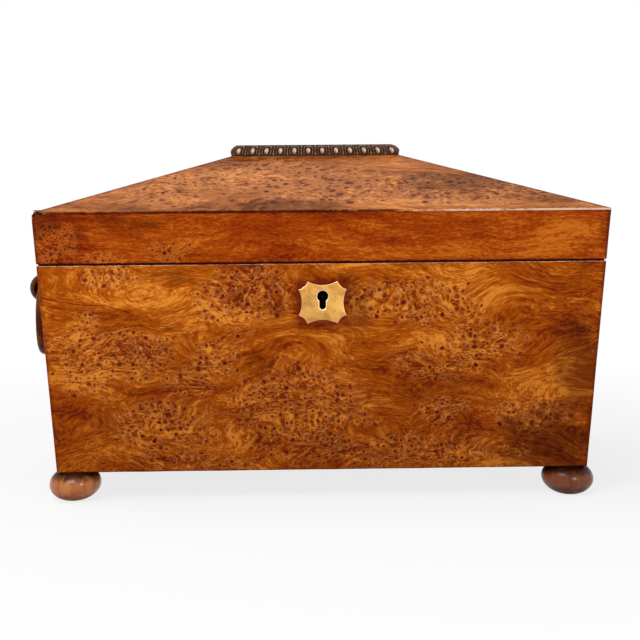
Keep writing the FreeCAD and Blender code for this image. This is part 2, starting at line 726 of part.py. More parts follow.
def add_handles(nodes):
    """Bosses with their stems in the side walls, and their rings."""
    for name, turn in (("right", lambda shape: shape), ("left", mirrored)):
        nodes[name + "_handle_boss"] = turn(boss())
        nodes[name + "_handle_ring"] = turn(ring())
        for layer in ("_board", "_veneer"):
            nodes[name + layer] = nodes[name + layer].cut(turn(boss_stem()))


def add_hinges(nodes):
    """Two hinges let into the back edges of the body and the lid."""
    body_leaf, lid_leaf, pin = hinge_shapes()
    blank = screw_blank(HINGE_SCREW_LENGTH)
    gap = Vector(0, 0, LEAF_GAP)
    body_seats = []
    lid_seats = []
    pins = []
    for name, x in (("left", -HINGE_SPREAD / 2), ("right", HINGE_SPREAD / 2)):
        positions = hinge_screw_positions(x)
        down = [Placement(position - gap, Rotation()) for position in positions]
        up = [Placement(position + gap, Rotation(X_AXIS, 180)) for position in positions]
        nodes[name + "_hinge_body_leaf"] = without(placed(body_leaf, Vector(x, 0, 0)), at_seats(blank, down))
        nodes[name + "_hinge_lid_leaf"] = without(placed(lid_leaf, Vector(x, 0, 0)), at_seats(blank, up))
        pins.append(placed(pin, Vector(x, 0, 0)))
        body_seats += down
        lid_seats += up
        for layer in ("back_board", "back_veneer"):
            nodes[layer] = nodes[layer].cut(hinge_pocket(x, Z_SEAM - LEAF_THICKNESS, Z_SEAM + 1))
        for layer in ("lid_back_rim", "lid_back_rim_veneer"):
            nodes[layer] = nodes[layer].cut(hinge_pocket(x, Z_SEAM - 1, Z_SEAM + LEAF_THICKNESS))
    nodes["back_board"] = without(nodes["back_board"], at_seats(blank, body_seats))
    nodes["lid_back_rim"] = without(nodes["lid_back_rim"], at_seats(blank, lid_seats))
    nodes["hinge_pins"] = Part.makeCompound(pins)
    nodes["hinge_body_screws"] = Part.makeCompound(at_seats(slotted(blank), body_seats))
    nodes["hinge_lid_screws"] = Part.makeCompound(at_seats(slotted(blank), lid_seats))


def add_lock(nodes):
    """The lock in the front wall, the escutcheon outside and the link plate in the lid."""
    lock_blank = screw_blank(LOCK_SCREW_LENGTH)
    link_blank = screw_blank(LINK_SCREW_LENGTH)
    lock_screws = at_seats(lock_blank, lock_screw_seats())
    link_screws = at_seats(link_blank, link_screw_seats())
    nodes["lock_plate"] = lock_plate(lock_screws)
    nodes["lock_case"] = lock_case()
    nodes["drill_pin"] = drill_pin()
    nodes["lock_screws"] = Part.makeCompound(at_seats(slotted(lock_blank), lock_screw_seats()))
    nodes["lock_bolt"] = lock_bolt()
    nodes["bolt_spring"] = bolt_spring()
    nodes["link_plate"] = link_plate(link_screws)
    nodes["link_screws"] = Part.makeCompound(at_seats(slotted(link_blank), link_screw_seats()))
    nodes["escutcheon"] = escutcheon_blank(0).cut(keyhole(0))

    recess = escutcheon_blank(1)
    key_room = keyhole(KEYHOLE_EASE)
    nodes["front_veneer"] = without(nodes["front_veneer"], [recess])
    nodes["front_board"] = nodes["front_board"].cut(lock_mortise())
    for cut in [recess, key_room] + lock_screws:
        nodes["front_board"] = nodes["front_board"].cut(cut)
    half = LOCK_PLATE_WIDTH / 2 + LOCK_FIT
    bottom = Z_SELVEDGE - LOCK_PLATE_HEIGHT - LOCK_FIT
    nodes["front_lining"] = nodes["front_lining"].cut(box(-half, half, -OUTSIDE, 0, bottom, Z_SEAM))
    pocket = post(0, BOLT_Y, Z_SEAM - 1, Z_LINK + LINK_PLATE_THICKNESS, LINK_PLATE_LENGTH, LINK_PLATE_WIDTH)
    nodes["lid_front_rim"] = without(nodes["lid_front_rim"], [pocket])
    for cut in link_screws:
        nodes["lid_front_rim"] = nodes["lid_front_rim"].cut(cut)


def main():
    nodes = body_woodwork()
    nodes.update(lid_woodwork())
    add_feet(nodes)
    add_handles(nodes)
    add_hinges(nodes)
    add_lock(nodes)
    os.makedirs("parts", exist_ok=True)
    for name, shape in nodes.items():
        shape.exportStep("parts/" + name + ".step")


main()
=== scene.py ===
"""A burl-veneered sarcophagus box, dressed round its packed solids: veneers, carving, turnings and fittings.

Metres, +Z up, with the front and its keyhole towards -Y. Each operator makes one kind of piece.
"""

import json
import math
import random

import bmesh
import bpy
import numpy as np
from bpy.props import FloatProperty, FloatVectorProperty, PointerProperty
from bpy.types import Operator, Panel, PropertyGroup
from mathutils import Matrix, Vector, noise


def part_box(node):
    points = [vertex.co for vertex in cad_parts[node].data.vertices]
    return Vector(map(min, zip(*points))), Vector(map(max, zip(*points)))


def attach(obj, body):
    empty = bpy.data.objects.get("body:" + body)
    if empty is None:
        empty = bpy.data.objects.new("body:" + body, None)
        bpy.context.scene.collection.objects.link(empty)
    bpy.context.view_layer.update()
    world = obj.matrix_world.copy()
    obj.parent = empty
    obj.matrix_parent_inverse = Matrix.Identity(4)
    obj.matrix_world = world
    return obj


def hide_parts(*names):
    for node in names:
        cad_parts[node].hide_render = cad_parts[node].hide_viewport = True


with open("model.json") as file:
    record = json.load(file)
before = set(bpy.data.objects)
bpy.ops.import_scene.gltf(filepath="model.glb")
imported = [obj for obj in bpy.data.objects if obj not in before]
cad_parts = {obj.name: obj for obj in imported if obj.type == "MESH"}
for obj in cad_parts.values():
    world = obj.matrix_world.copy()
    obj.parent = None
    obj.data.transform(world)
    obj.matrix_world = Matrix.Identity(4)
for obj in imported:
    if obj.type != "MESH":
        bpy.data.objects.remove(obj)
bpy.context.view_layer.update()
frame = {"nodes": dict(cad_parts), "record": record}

bl_info = {
    "name": "Burl Wood Box",
    "version": (1, 0, 0),
    "blender": (4, 5, 0),
    "location": "3D View > Sidebar > Burl Box",
    "description": "Veneers, carving, turnings and fittings of a sarcophagus box, round its packed solids",
    "category": "Object",
}

MM = 0.001
SIDES = ("front", "right", "back", "left")
FEET = ("front_left", "front_right", "back_right", "back_left")
UP = Vector((0, 0, 1))

# Corners of a rectangle, round from the lower left: the signs of their places, and their numbers
CORNERS = ((-1, -1), (1, -1), (1, 1), (-1, 1))
LOWER_LEFT, LOWER_RIGHT, UPPER_RIGHT, UPPER_LEFT = range(4)

CREASE = math.radians(38)  # Faces that meet more sharply than this show an edge
ROOF_SLOPE = math.radians(69)  # How far the roof leans back, near enough to find the corners of its veneers

# The floor's half width, and the distances from the box between which it turns into the white ground
FLOOR_HALF = 6.0
GLOW_NEAR, GLOW_FAR = 0.20, 0.60

# Lamps: the setting of their power, the length of their sides, and their places
LAMPS = {
    "key lamp": ("key_power", 0.60, (-0.60, -1.00, 0.95)),
    "fill lamp": ("fill_power", 0.25, (0.72, -1.45, 0.26)),
    "top lamp": ("top_power", 0.90, (-0.45, 0.10, 1.65))}
LAMP_AIM = Vector((0, 0, 0.10))

# Dyes, as what they leave of red, green and blue: stains and painted edge shade in a veneer, painted shade
# towards its foot and along its foot, and painted shade on the feet near the floor and on the feet on the
# right
STAIN_AND_SHADE_DYE = (0.42, 0.37, 0.29, 1.0)
LOW_SHADE_DYE = (0.55, 0.46, 0.40, 1.0)
FOOT_LINE_SHADE_DYE = (0.24, 0.08, 0.04, 1.0)
SOLE_SHADE_DYE = (0.50, 0.36, 0.20, 1.0)
RIGHT_SHADE_DYE = (0.40, 0.25, 0.12, 1.0)

# Painted shade: on the wood inside the keyhole, on the lock behind it, and on the board edges in the seam and
# eave gaps
KEYHOLE_SHADE_WOOD = (0.006, 0.004, 0.003, 1.0)
KEYHOLE_SHADE_METAL = (0.006, 0.005, 0.004, 1.0)
GAP_SHADE_DARK = (0.016, 0.003, 0.0015, 1.0)

# Patches of figure in a veneer, in millimetres from the middle of its lower edge:
# across, up, half width, half height and strength
FRONT_BURL = (
    (-112, 105, 16, 6, 0.9), (-42, 93, 27, 16, 0.9), (-112, 64, 34, 14, 1.0), (-126, 50, 15, 8, 0.8),
    (-70, 48, 15, 8, 0.9), (-56, 61, 17, 10, 0.8), (-123, 84, 8, 4, 0.7), (-88, 24, 28, 13, 0.9),
    (-14, 34, 36, 24, 1.0), (46, 91, 38, 11, 1.0), (86, 71, 20, 11, 0.9), (65, 59, 30, 10, 0.7),
    (62, 32, 17, 9, 0.8), (113, 30, 23, 12, 0.7), (40, 10, 70, 10, 0.8), (-70, 6, 40, 6, 0.6))
# Stains; the narrow bands along the right edge, and in part the patches at the lower right, are painted shade
FRONT_STAIN_AND_SHADE = (
    (-82, 105, 17, 6, 0.6), (-27, 88, 12, 10, 0.5), (-34, 58, 12, 11, 0.55), (-113, 37, 11, 7, 0.5),
    (-29, 21, 15, 10, 0.5), (19, 88, 9, 15, 0.8), (122, 12, 34, 20, 0.9), (136, 56, 15, 34, 0.85),
    (0, 106, 22, 6, 0.5), (0, 77, 20, 5, 0.6), (-82, 78, 3.5, 2.5, 1.0), (-73, 74, 3, 2.5, 1.0),
    (15, 97, 4, 7, 1.0), (14, 103, 6, 3, 1.0), (16, 86, 3, 8, 0.9), (-14, 92, 3, 9, 0.7), (0, 78, 9, 3, 0.7),
    (60, 45, 26, 8, 0.5), (-60, 36, 20, 6, 0.5), (151, 92, 3, 34, 1.0), (147, 50, 3, 34, 1.0),
    (144, 12, 3, 30, 1.0))
FRONT_GLOW = (
    (-82, 93, 24, 9, 1.0), (14, 67, 36, 7, 0.8), (105, 93, 36, 15, 0.45), (-120, 90, 24, 8, 0.7))
RIM_BURL = ((-142, 10, 14, 11, 1.0), (-119, 3, 10, 4, 0.9), (-79, 6, 13, 6, 0.9))
# Stains and wear; the two narrow bands along the right edge are painted shade
RIM_STAIN_AND_SHADE = (
    (-150, 22, 12, 9, 1.0), (-100, 22, 26, 5, 0.7), (-128, 15, 4, 9, 0.6), (-18, 8, 8, 5, 0.4),
    (36, 11, 5, 3, 0.7), (140, 5, 6, 5, 0.5), (149, 12, 5, 14, 0.7), (152, 14, 2.5, 20, 1.0))
RIM_GLOW = ((-105, 8, 24, 6, 0.7), (-40, 12, 60, 8, 0.5), (60, 12, 40, 9, 0.6), (112, 14, 30, 9, 0.8))
ROOF_BURL = ((-30, 48, 74, 24, 0.9), (60, 30, 62, 22, 0.9), (-80, 24, 40, 16, 0.7), (10, 20, 40, 12, 0.8))
ROOF_STAIN = (
    (-12, 7, 30, 9, 1.0), (76, 40, 30, 14, 1.0), (124, 12, 14, 8, 0.9), (-104, 6, 16, 6, 0.7),
    (60, 20, 24, 8, 0.6), (-44, 74, 10, 5, 0.7), (12, 46, 16, 7, 0.5))
ROOF_GLOW = ((-64, 40, 40, 24, 1.0), (14, 62, 40, 12, 0.6), (30, 10, 34, 6, 0.4))

# Patches that chance sets down in the other veneers: how many, and their least and largest half width, in
# millimetres
CHANCE_BURL = (9, 14, 38)
CHANCE_STAIN = (6, 7, 16)
CHANCE_GLOW = (4, 18, 36)

# Dark lines in the front that follow the grain, the first of them a crack, in the same measure
FRONT_LINES = (
    ((-149, 94.8), (-139, 93.0), (-131, 91.4), (-124, 90.7), (-116, 90.6), (-110, 89.0), (-104, 87.2),
     (-95, 84.0)),
    ((-126, 74.5), (-117, 76.2), (-109, 77.5), (-102, 79.2), (-96, 79.6), (-90, 77.5), (-84, 74.0)),
    ((-70, 75.0), (-64, 76.4), (-59, 75.8), (-53, 73.5), (-46, 69.0)))

# How strongly the edges of the front sheets are worn pale and painted dark, as (across in millimetres,
# share):
# pale along the top, pale along the bottom, painted shade along the bottom
BODY_EDGES = (
    ((-151, 0.9), (-60, 0.7), (0, 0.8), (100, 0.7), (120, 1.0), (151, 1.0)), ((0, 0.1),), ((0, 0.9),))
RIM_EDGES = (((0, 0.0),), ((0, 0.1),), ((0, 1.0),))
ROOF_EDGES = (
    ((0, 0.0),),
    ((-152, 0.8), (-147, 0.6), (-144, 0.1), (30, 0.15), (60, 0.7), (110, 0.8), (132, 1.0), (152, 1.0)),
    ((-150, 0.4), (-140, 1.0), (20, 1.0), (60, 0.3), (152, 0.2)))

# Chips along the front eave, in millimetres: place from the middle, half length and depth
EAVE_CHIPS = (
    (-122, 4.0, 0.9), (-114, 2.5, 0.7), (6, 5.0, 0.8), (16, 3.0, 1.0), (45, 2.8, 0.9), (101, 2.0, 0.5))


# Settings

def length(label, note, millimetres):
    """A length that a user can set."""
    return FloatProperty(
        name=label, description=note, default=millimetres * MM, min=0.0, precision=5, unit="LENGTH")


def share(label, note, default):
    """A share from 0 to 1 that a user can set."""
    return FloatProperty(name=label, description=note, default=default, min=0.0, max=1.0, subtype="FACTOR")


def turn(label, note, degrees):
    """An angle that a user can set."""
    return FloatProperty(name=label, description=note, default=math.radians(degrees), unit="ROTATION")


def power(label, note, watts):
    """A lamp's power that a user can set."""
    return FloatProperty(name=label, description=note, default=watts, min=0.0, unit="POWER")


def colour(label, note, red, green, blue):
    """A colour that a user can set."""
    return FloatVectorProperty(
        name=label, description=note, default=(red, green, blue), min=0.0, max=1.0, subtype="COLOR")


# What each colour of a veneer is for
VENEER_NOTES = {
    "Shade": "Dark bands of the figure",
    "Ground": "Plain wood",
    "Gold": "Lightest streaks",
    "Tan": "Pale wood between the pips",
    "Pip": "Small knots",
    "Worn": "Bare wood along rubbed edges",
}


def veneer_tint(label, red, green, blue):
    """One of the colours of a veneer, with its note."""
    return colour(label, VENEER_NOTES[label], red, green, blue)


class VeneerSettings(PropertyGroup):
    """Sizes of the veneers and of the wear along their edges"""

    mesh_step: length("Mesh step", "Distance between mesh lines along a veneer", 1.6)
    edge_round: length("Edge rounding", "Radius of a veneer's free edges", 0.35)
    corner_round: length("Corner rounding", "Radius that handling has worn on the upright corners", 0.9)
    hip_wear: length("Hip wear", "Depth worn off the hips of the roof", 0.14)
    wander: length("Edge wander", "How far a free edge strays from straight", 0.10)
    ripple: length("Ripple", "Depth of the slow unevenness of old veneer", 0.05)
    lost_corner: length("Lost corner", "Radius broken off the roof's front left corner", 5.0)
    lost_rim: length("Lost rim", "Radius broken off the rim's upper front left corner", 2.2)


class BodyVeneerColours(PropertyGroup):
    """Colours of the veneer on the body"""

    shade: veneer_tint("Shade", 0.130, 0.0105, 0.0001)
    ground: veneer_tint("Ground", 0.305, 0.058, 0.0005)
    gold: veneer_tint("Gold", 0.640, 0.212, 0.0210)
    tan: veneer_tint("Tan", 0.530, 0.190, 0.0380)
    pip: veneer_tint("Pip", 0.105, 0.0030, 0.0001)
    worn: veneer_tint("Worn", 0.680, 0.400, 0.2500)


class RimVeneerColours(PropertyGroup):
    """Colours of the veneer on the lid's rim"""

    shade: veneer_tint("Shade", 0.125, 0.0080, 0.0001)
    ground: veneer_tint("Ground", 0.260, 0.0350, 0.0003)
    gold: veneer_tint("Gold", 0.470, 0.118, 0.0070)
    tan: veneer_tint("Tan", 0.450, 0.130, 0.0200)
    pip: veneer_tint("Pip", 0.080, 0.0040, 0.0001)
    worn: veneer_tint("Worn", 0.480, 0.210, 0.0900)


class RoofVeneerColours(PropertyGroup):
    """Colours of the sun-faded veneer on the roof"""

    shade: veneer_tint("Shade", 0.115, 0.0230, 0.0030)
    ground: veneer_tint("Ground", 0.315, 0.0930, 0.0210)
    gold: veneer_tint("Gold", 0.620, 0.225, 0.0560)
    tan: veneer_tint("Tan", 0.520, 0.205, 0.0760)
    pip: veneer_tint("Pip", 0.100, 0.0110, 0.0010)
    worn: veneer_tint("Worn", 0.660, 0.450, 0.3300)


class CapSettings(PropertyGroup):
    """Sizes and colours of the carved cap"""

    width: length("Moulding width", "From the tablet to the outer edge", 8.0)
    fillet: length("Fillet", "Upright step below the rounded section", 0.4)
    flat: length("Flat", "Level strip beside the tablet", 0.8)
    pitch: length("Carving pitch", "Distance from egg to egg, before they are fitted to a side", 7.5)
    egg_width: length("Egg width", "Width of an egg", 2.9)
    egg_length: length("Egg length", "Length of an egg up the moulding", 4.8)
    egg_place: share("Egg place", "How far up the moulding's curve the middle of an egg lies", 0.24)
    egg_relief: length("Egg relief", "How far an egg stands out of its hollow", 1.3)
    ground_depth: length("Ground depth", "How deep the ground round the eggs is cut", 0.5)
    corner_round: length("Corner rounding", "How far the corners are rounded", 2.6)
    # The colour of the painted glints on the eggs
    painted_glint: colour("Tip", "Eggs rubbed bare", 0.800, 0.660, 0.5300)
    light: colour("Light", "Rubbed high spots", 0.360, 0.205, 0.1250)
    dark: colour("Dark", "Waxed wood", 0.115, 0.043, 0.0180)
    # Wax and dust in the hollows, made darker as painted shade
    dirt_and_shade: colour("Dirt", "Wax and dust in the hollows", 0.015, 0.0040, 0.0010)


class TurnedSettings(PropertyGroup):
    """Sizes and colours of the turned feet, bosses and rings"""

    neck: length("Foot neck", "Diameter where a foot meets the box", 19.4)
    sole: length("Foot sole", "Diameter of the flat a foot stands on", 10.0)
    spigot: length("Spigot", "Diameter of a foot's spigot", 9.0)
    body_height: length("Bun height", "Height of a foot below its spigot", 16.0)
    tool_mark: length("Tool marks", "Depth of the fine lines left by turning", 0.03)
    dent: length("Dents", "Unevenness from knocks", 0.10)
    splay: turn("Splay", "How far a foot has settled outwards", 7.0)
    # Painted shade: above this height a foot is painted dark, as the shadow under the box
    shade_height: length("Seat", "Height at which a foot grows dirty under the box", 12.0)
    polish: share("Polish", "How glossy the feet are", 0.80)
    handle_polish: share("Handle polish", "How glossy the handles are", 0.05)
    light: colour("Light", "Rubbed high spots", 0.440, 0.140, 0.0300)
    dark: colour("Dark", "Polished wood", 0.240, 0.0580, 0.0070)
    # The colour of the painted shade under the box
    dirt_and_shade: colour("Dirt", "Wax and dust under the box", 0.008, 0.0016, 0.0005)
    # The handles' colours are darker than the feet's, in part painted shade of the ring in shadow at the
    # box's left
    handle_light: colour("Handle light", "Rubbed spots of the handles", 0.135, 0.032, 0.0050)
    handle_dark: colour("Handle dark", "Polished wood of the handles", 0.050, 0.0070, 0.0012)


class BrassSettings(PropertyGroup):
    """Sizes and colours of the escutcheon, lock and hinges"""

    notch_width: length("Notch width", "Width of the escutcheon's corner notches", 4.8)
    notch_height: length("Notch height", "Height of the escutcheon's corner notches", 4.4)
    notch_bow: length("Notch bow", "Depth of the hollow of a corner notch", 0.9)
    side_bow: length("Side bow", "Depth of the hollow of a side", 1.7)
    end_bow: length("End bow", "Depth of the hollow of the top and the bottom", 2.1)
    keyhole: length("Keyhole", "Diameter of the keyhole's head", 5.8)
    slot_width: length("Slot width", "Width of the keyhole's slot", 3.3)
    slot_drop: length("Slot drop", "From the keyhole's middle to the slot's end", 7.0)
    key_rise: length("Key rise", "From the escutcheon's middle up to the keyhole's middle", 3.3)
    thickness: length("Thickness", "Thickness of the escutcheon", 1.5)
    edge_round: length("Edge rounding", "Radius of the escutcheon's edge", 0.30)
    key_bevel: length("Keyhole bevel", "Width of the bright bevel round the keyhole", 0.42)
    bright: colour("Bright", "Rubbed brass", 0.700, 0.370, 0.0950)
    dull: colour("Dull", "Toned brass", 0.480, 0.225, 0.0480)
    edge: colour("Edge", "Brass rubbed bright along edges", 0.980, 0.820, 0.5400)
    steel_bright: colour("Bright steel", "Rubbed steel", 0.230, 0.215, 0.1950)
    steel_dull: colour("Dull steel", "Browned steel", 0.045, 0.036, 0.0290)


class InsideSettings(PropertyGroup):
    """Colours of the bare boards and linings, and the form of the velvet pads"""

    pad_round: length("Pad rounding", "How far in a pad's edge is rounded", 1.6)
    pad_crown: length("Pad crown", "How far a pad's middle stands above its edges", 0.5)
    pad_pull: length("Pad pull", "How far a pad's sides are drawn in between its corners", 0.9)
    pad_dimple: length("Pad dimples", "Depth of the hollows pressed into a pad", 0.45)
    wood_light: colour("Light wood", "Early wood of the boards", 0.270, 0.110, 0.0420)
    wood_dark: colour("Dark wood", "Late wood of the boards", 0.130, 0.045, 0.0160)
    paper: colour("Paper", "Lining paper", 0.190, 0.022, 0.0190)
    paper_faded: colour("Faded paper", "Rubbed lining paper", 0.290, 0.062, 0.0480)
    velvet: colour("Velvet", "Pile of the pads", 0.090, 0.0080, 0.0090)
    velvet_crushed: colour("Crushed velvet", "Pile pressed flat", 0.170, 0.0210, 0.0210)


class StageSettings(PropertyGroup):
    """Camera, lamps and floor"""

    camera_place: FloatVectorProperty(
        name="Camera place", description="Where the camera stands", default=(-0.04573, -1.00261, 0.18300),
        subtype="TRANSLATION", unit="LENGTH", precision=5)
    camera_yaw: turn("Camera yaw", "Turn towards the box's right", 1.47)
    camera_pitch: turn("Camera pitch", "Turn down", 5.42)
    camera_roll: turn("Camera roll", "Tilt of the picture", -0.47)
    camera_lens: FloatProperty(
        name="Camera lens", description="Focal length on a 36 mm sensor", default=95.91, unit="CAMERA")
    camera_shift: FloatVectorProperty(
        name="Camera shift", description="How far the picture is cropped off the lens's middle", size=2,
        default=(0.0625, 0.0))
    key_power: power("Key power", "Large soft lamp at the upper left, in front", 12.0)
    fill_power: power("Fill power", "Smaller lamp at the right, in front, that lights the highlights", 5.0)
    top_power: power("Top power", "Soft lamp above", 10.0)
    ambient: share("Ambient", "Light from all round", 0.48)
    floor_glow: share("Floor glow", "How far the floor shows as the white ground and not as lit paper", 0.80)
    floor_colour: colour("Floor colour", "Paper that the box stands on", 0.70, 0.70, 0.70)


# Node graphs

class Graph:
    """Short ways to add and join nodes in one tree."""

    def __init__(self, tree):
        self.tree = tree

    def put(self, socket, value):
        """Joins a socket to another, or sets its value."""
        if isinstance(value, bpy.types.NodeSocket):
            self.tree.links.new(value, socket)
        else:
            socket.default_value = value

    def add(self, kind, inputs=None, **settings):
        """A node with its settings and its inputs, by name or by number."""
        node = self.tree.nodes.new(kind)
        for key, value in settings.items():
            setattr(node, key, value)
        for key, value in (inputs or {}).items():
            self.put(node.inputs[key], value)
        return node

    def maths(self, operation, *values):
        """One result of a Math node."""
        return self.add("ShaderNodeMath", dict(enumerate(values)), operation=operation).outputs[0]

    def sum(self, *values):
        """The values added up."""
        total = values[0]
        for value in values[1:]:
            total = self.maths("ADD", total, value)
        return total

    def times(self, *values):
        """The values multiplied."""
        total = values[0]
        for value in values[1:]:
            total = self.maths("MULTIPLY", total, value)
        return total

    def most(self, first, second):
        """The larger of two values."""
        return self.maths("MAXIMUM", first, second)

    def size(self, value):
        """A value without its sign."""
        return self.maths("ABSOLUTE", value)

    def rest(self, value):
        """What a value leaves of 1."""
        return self.maths("SUBTRACT", 1.0, value)

    def swing(self, value, reach):
        """A value from 0 to 1 as a swing about zero."""
        return self.times(self.maths("SUBTRACT", value, 0.5), reach)

    def ease(self, value, start, end, low=0.0, high=1.0):
        """A smooth step of a value from low at start to high at end."""
        limits = {0: value, 1: start, 2: end, 3: low, 4: high}
        return self.add("ShaderNodeMapRange", limits, interpolation_type="SMOOTHSTEP").outputs[0]

    def vectors(self, operation, first, second):
        """One vector from two."""
        return self.add("ShaderNodeVectorMath", {0: first, 1: second}, operation=operation).outputs[0]

    def scaled(self, vector, factor):
        """A vector times a value."""
        return self.add("ShaderNodeVectorMath", {0: vector, "Scale": factor}, operation="SCALE").outputs[0]

    def millimetres(self, place):
        """A place in millimetres."""
        return self.scaled(place, 1.0 / MM)

    def noise(self, place, stretch, detail=2.0, roughness=0.5):
        """A noise node with so many waves per unit along each axis."""
        if not isinstance(stretch, tuple):
            stretch = (stretch,) * 3
        return self.add(
            "ShaderNodeTexNoise",
            {"Vector": self.vectors("MULTIPLY", place, stretch), "Scale": 1.0, "Detail": detail,
             "Roughness": roughness})

    def clouds(self, place, stretch, detail=2.0, roughness=0.5):
        """The value of a noise."""
        return self.noise(place, stretch, detail, roughness).outputs[0]

    def drift(self, place, stretch, reach, detail=2.0):
        """A vector that strays as far as reach."""
        tint = self.noise(place, stretch, detail).outputs[1]
        return self.scaled(self.vectors("SUBTRACT", tint, (0.5, 0.5, 0.5)), reach)

    def split(self, vector):
        """The three parts of a vector."""
        return self.add("ShaderNodeSeparateXYZ", {0: vector}).outputs

    def mix(self, factor, first, second, blend="MIX"):
        """Two colours mixed."""
        node = self.add("ShaderNodeMix", {0: factor, 6: first, 7: second}, data_type="RGBA", blend_type=blend)
        return node.outputs[2]

    def dyed(self, tint, dye):
        """A colour darkened by a dye."""
        return self.mix(1.0, tint, dye, "MULTIPLY")

    def object_place(self):
        """A point's place in its piece, which is its place in the box at rest."""
        return self.add("ShaderNodeTexCoord").outputs["Object"]

    def attribute(self, name):
        """A vector kept in the mesh."""
        return self.add("ShaderNodeAttribute", attribute_name=name).outputs["Vector"]

    def group(self, name, **inputs):
        """The outputs of a group, with its inputs by name and low lines for spaces."""
        named = {key.replace("_", " "): value for key, value in inputs.items()}
        node = self.tree.nodes.new("ShaderNodeGroup")
        node.node_tree = bpy.data.node_groups[name]
        for key, value in named.items():
            self.put(node.inputs[key], value)
        return node.outputs


SOCKETS = {"colour": "NodeSocketColor", "value": "NodeSocketFloat", "vector": "NodeSocketVector"}


def new_group(name, inputs, outputs):
    """An empty shader group as its graph, what comes in and what goes out."""
    tree = bpy.data.node_groups.new(name, "ShaderNodeTree")
    for way, sockets in (("INPUT", inputs), ("OUTPUT", outputs)):
        for label, kind in sockets.items():
            tree.interface.new_socket(label, in_out=way, socket_type=SOCKETS[kind])
    graph = Graph(tree)
    return graph, graph.add("NodeGroupInput").outputs, graph.add("NodeGroupOutput").inputs


def pip_layer(graph, place, spacing, presence, smallest, largest):
    """Small knots so far apart: the knots, the pale wood round them and the way out of each."""
    cells = graph.add(
        "ShaderNodeTexVoronoi", {"Vector": place, "Scale": 1.0 / spacing}, voronoi_dimensions="2D")
    chance = graph.split(cells.outputs["Color"])
    there = graph.maths("LESS_THAN", chance[0], presence)
    radius = graph.sum(graph.times(chance[1], chance[1], largest - smallest), smallest)
    knots = graph.ease(cells.outputs["Distance"], radius, graph.times(radius, 0.40))
    depth = graph.times(there, graph.sum(0.65, graph.times(chance[2], 0.35)))
    halo = graph.times(graph.ease(cells.outputs["Distance"], 0.70, 0.30), there)
    away = graph.vectors("SUBTRACT", place, cells.outputs["Position"])
    return graph.times(knots, depth), halo, away


def make_burl_figure():
    """Group: burl, with clusters of pips in grain that swirls round them."""
    graph, given, out = new_group(
        "Burl figure",
        {"Place": "vector", "Burl": "value", "Glow": "value", "Swirl": "value", "Shade": "colour",
         "Ground": "colour", "Gold": "colour", "Tan": "colour", "Pip": "colour"},
        {"Colour": "colour", "Height": "value", "Cluster": "value"})
    place = graph.millimetres(given["Place"])
    broad = graph.drift(place, (0.018, 0.034, 0.034), 50.0, 1.0)
    middling = graph.drift(place, 0.12, 6.0)
    fine = graph.drift(place, 0.60, 0.7)
    cluster = graph.ease(
        graph.sum(given["Burl"], graph.swing(graph.clouds(place, (0.05, 0.09, 0.09), 3.0), 1.3)), 0.20, 0.80)
    flow = graph.vectors("ADD", place, graph.scaled(broad, given["Swirl"]))
    flow = graph.vectors("ADD", flow, graph.scaled(middling, graph.sum(graph.times(cluster, 0.9), 0.25)))

    scatter = graph.vectors("ADD", graph.vectors("ADD", place, graph.scaled(middling, 0.5)), fine)
    knots, halo, away = pip_layer(graph, scatter, 3.5, graph.times(cluster, 0.55), 0.20, 0.62)
    specks, glints, _ = pip_layer(graph, scatter, 2.5, graph.times(cluster, 0.22), 0.18, 0.42)
    flow = graph.vectors("SUBTRACT", flow, graph.scaled(away, graph.times(halo, 0.8)))

    streak = graph.clouds(flow, (0.055, 0.42, 0.42), 4.0, 0.58)
    fibre = graph.clouds(flow, (0.30, 1.00, 1.0), 3.0, 0.65)
    combed = graph.clouds(flow, (0.22, 0.75, 0.75), 3.0, 0.6)
    band = graph.clouds(flow, (0.013, 0.075, 0.075), 1.5)
    patch = graph.clouds(place, (0.018, 0.032, 0.032), 2.0)
    mottle = graph.clouds(flow, 0.30, 3.0, 0.62)
    rings = graph.maths("FRACT", graph.times(graph.clouds(flow, (0.016, 0.050, 0.05), 0.6), 7.0))
    line = graph.ease(graph.size(graph.maths("SUBTRACT", rings, 0.5)), 0.07, 0.01)
    line = graph.times(line, graph.ease(band, 0.46, 0.60))

    tone = graph.sum(
        0.47, graph.swing(streak, 1.05), graph.swing(band, 1.05), graph.swing(patch, 0.9),
        graph.swing(fibre, 1.30), graph.times(given["Glow"], 0.20),
        graph.times(cluster, graph.swing(mottle, 2.5)), graph.times(line, -0.10))
    wood = graph.mix(graph.ease(tone, 0.05, 0.52), given["Shade"], given["Ground"])
    wood = graph.mix(graph.ease(tone, 0.46, 0.98), wood, given["Gold"])
    rims = graph.most(graph.times(halo, 0.30), graph.times(glints, 0.25))
    pale = graph.most(rims, graph.times(cluster, graph.ease(combed, 0.50, 0.66), 0.85))
    wood = graph.mix(pale, wood, given["Tan"])
    wood = graph.mix(graph.most(knots, graph.times(specks, 0.9)), wood, given["Pip"])
    graph.put(out["Colour"], wood)
    graph.put(out["Height"], graph.sum(
        graph.swing(streak, 0.5), graph.swing(fibre, 0.5), graph.times(graph.most(knots, specks), -0.8)))
    graph.put(out["Cluster"], cluster)


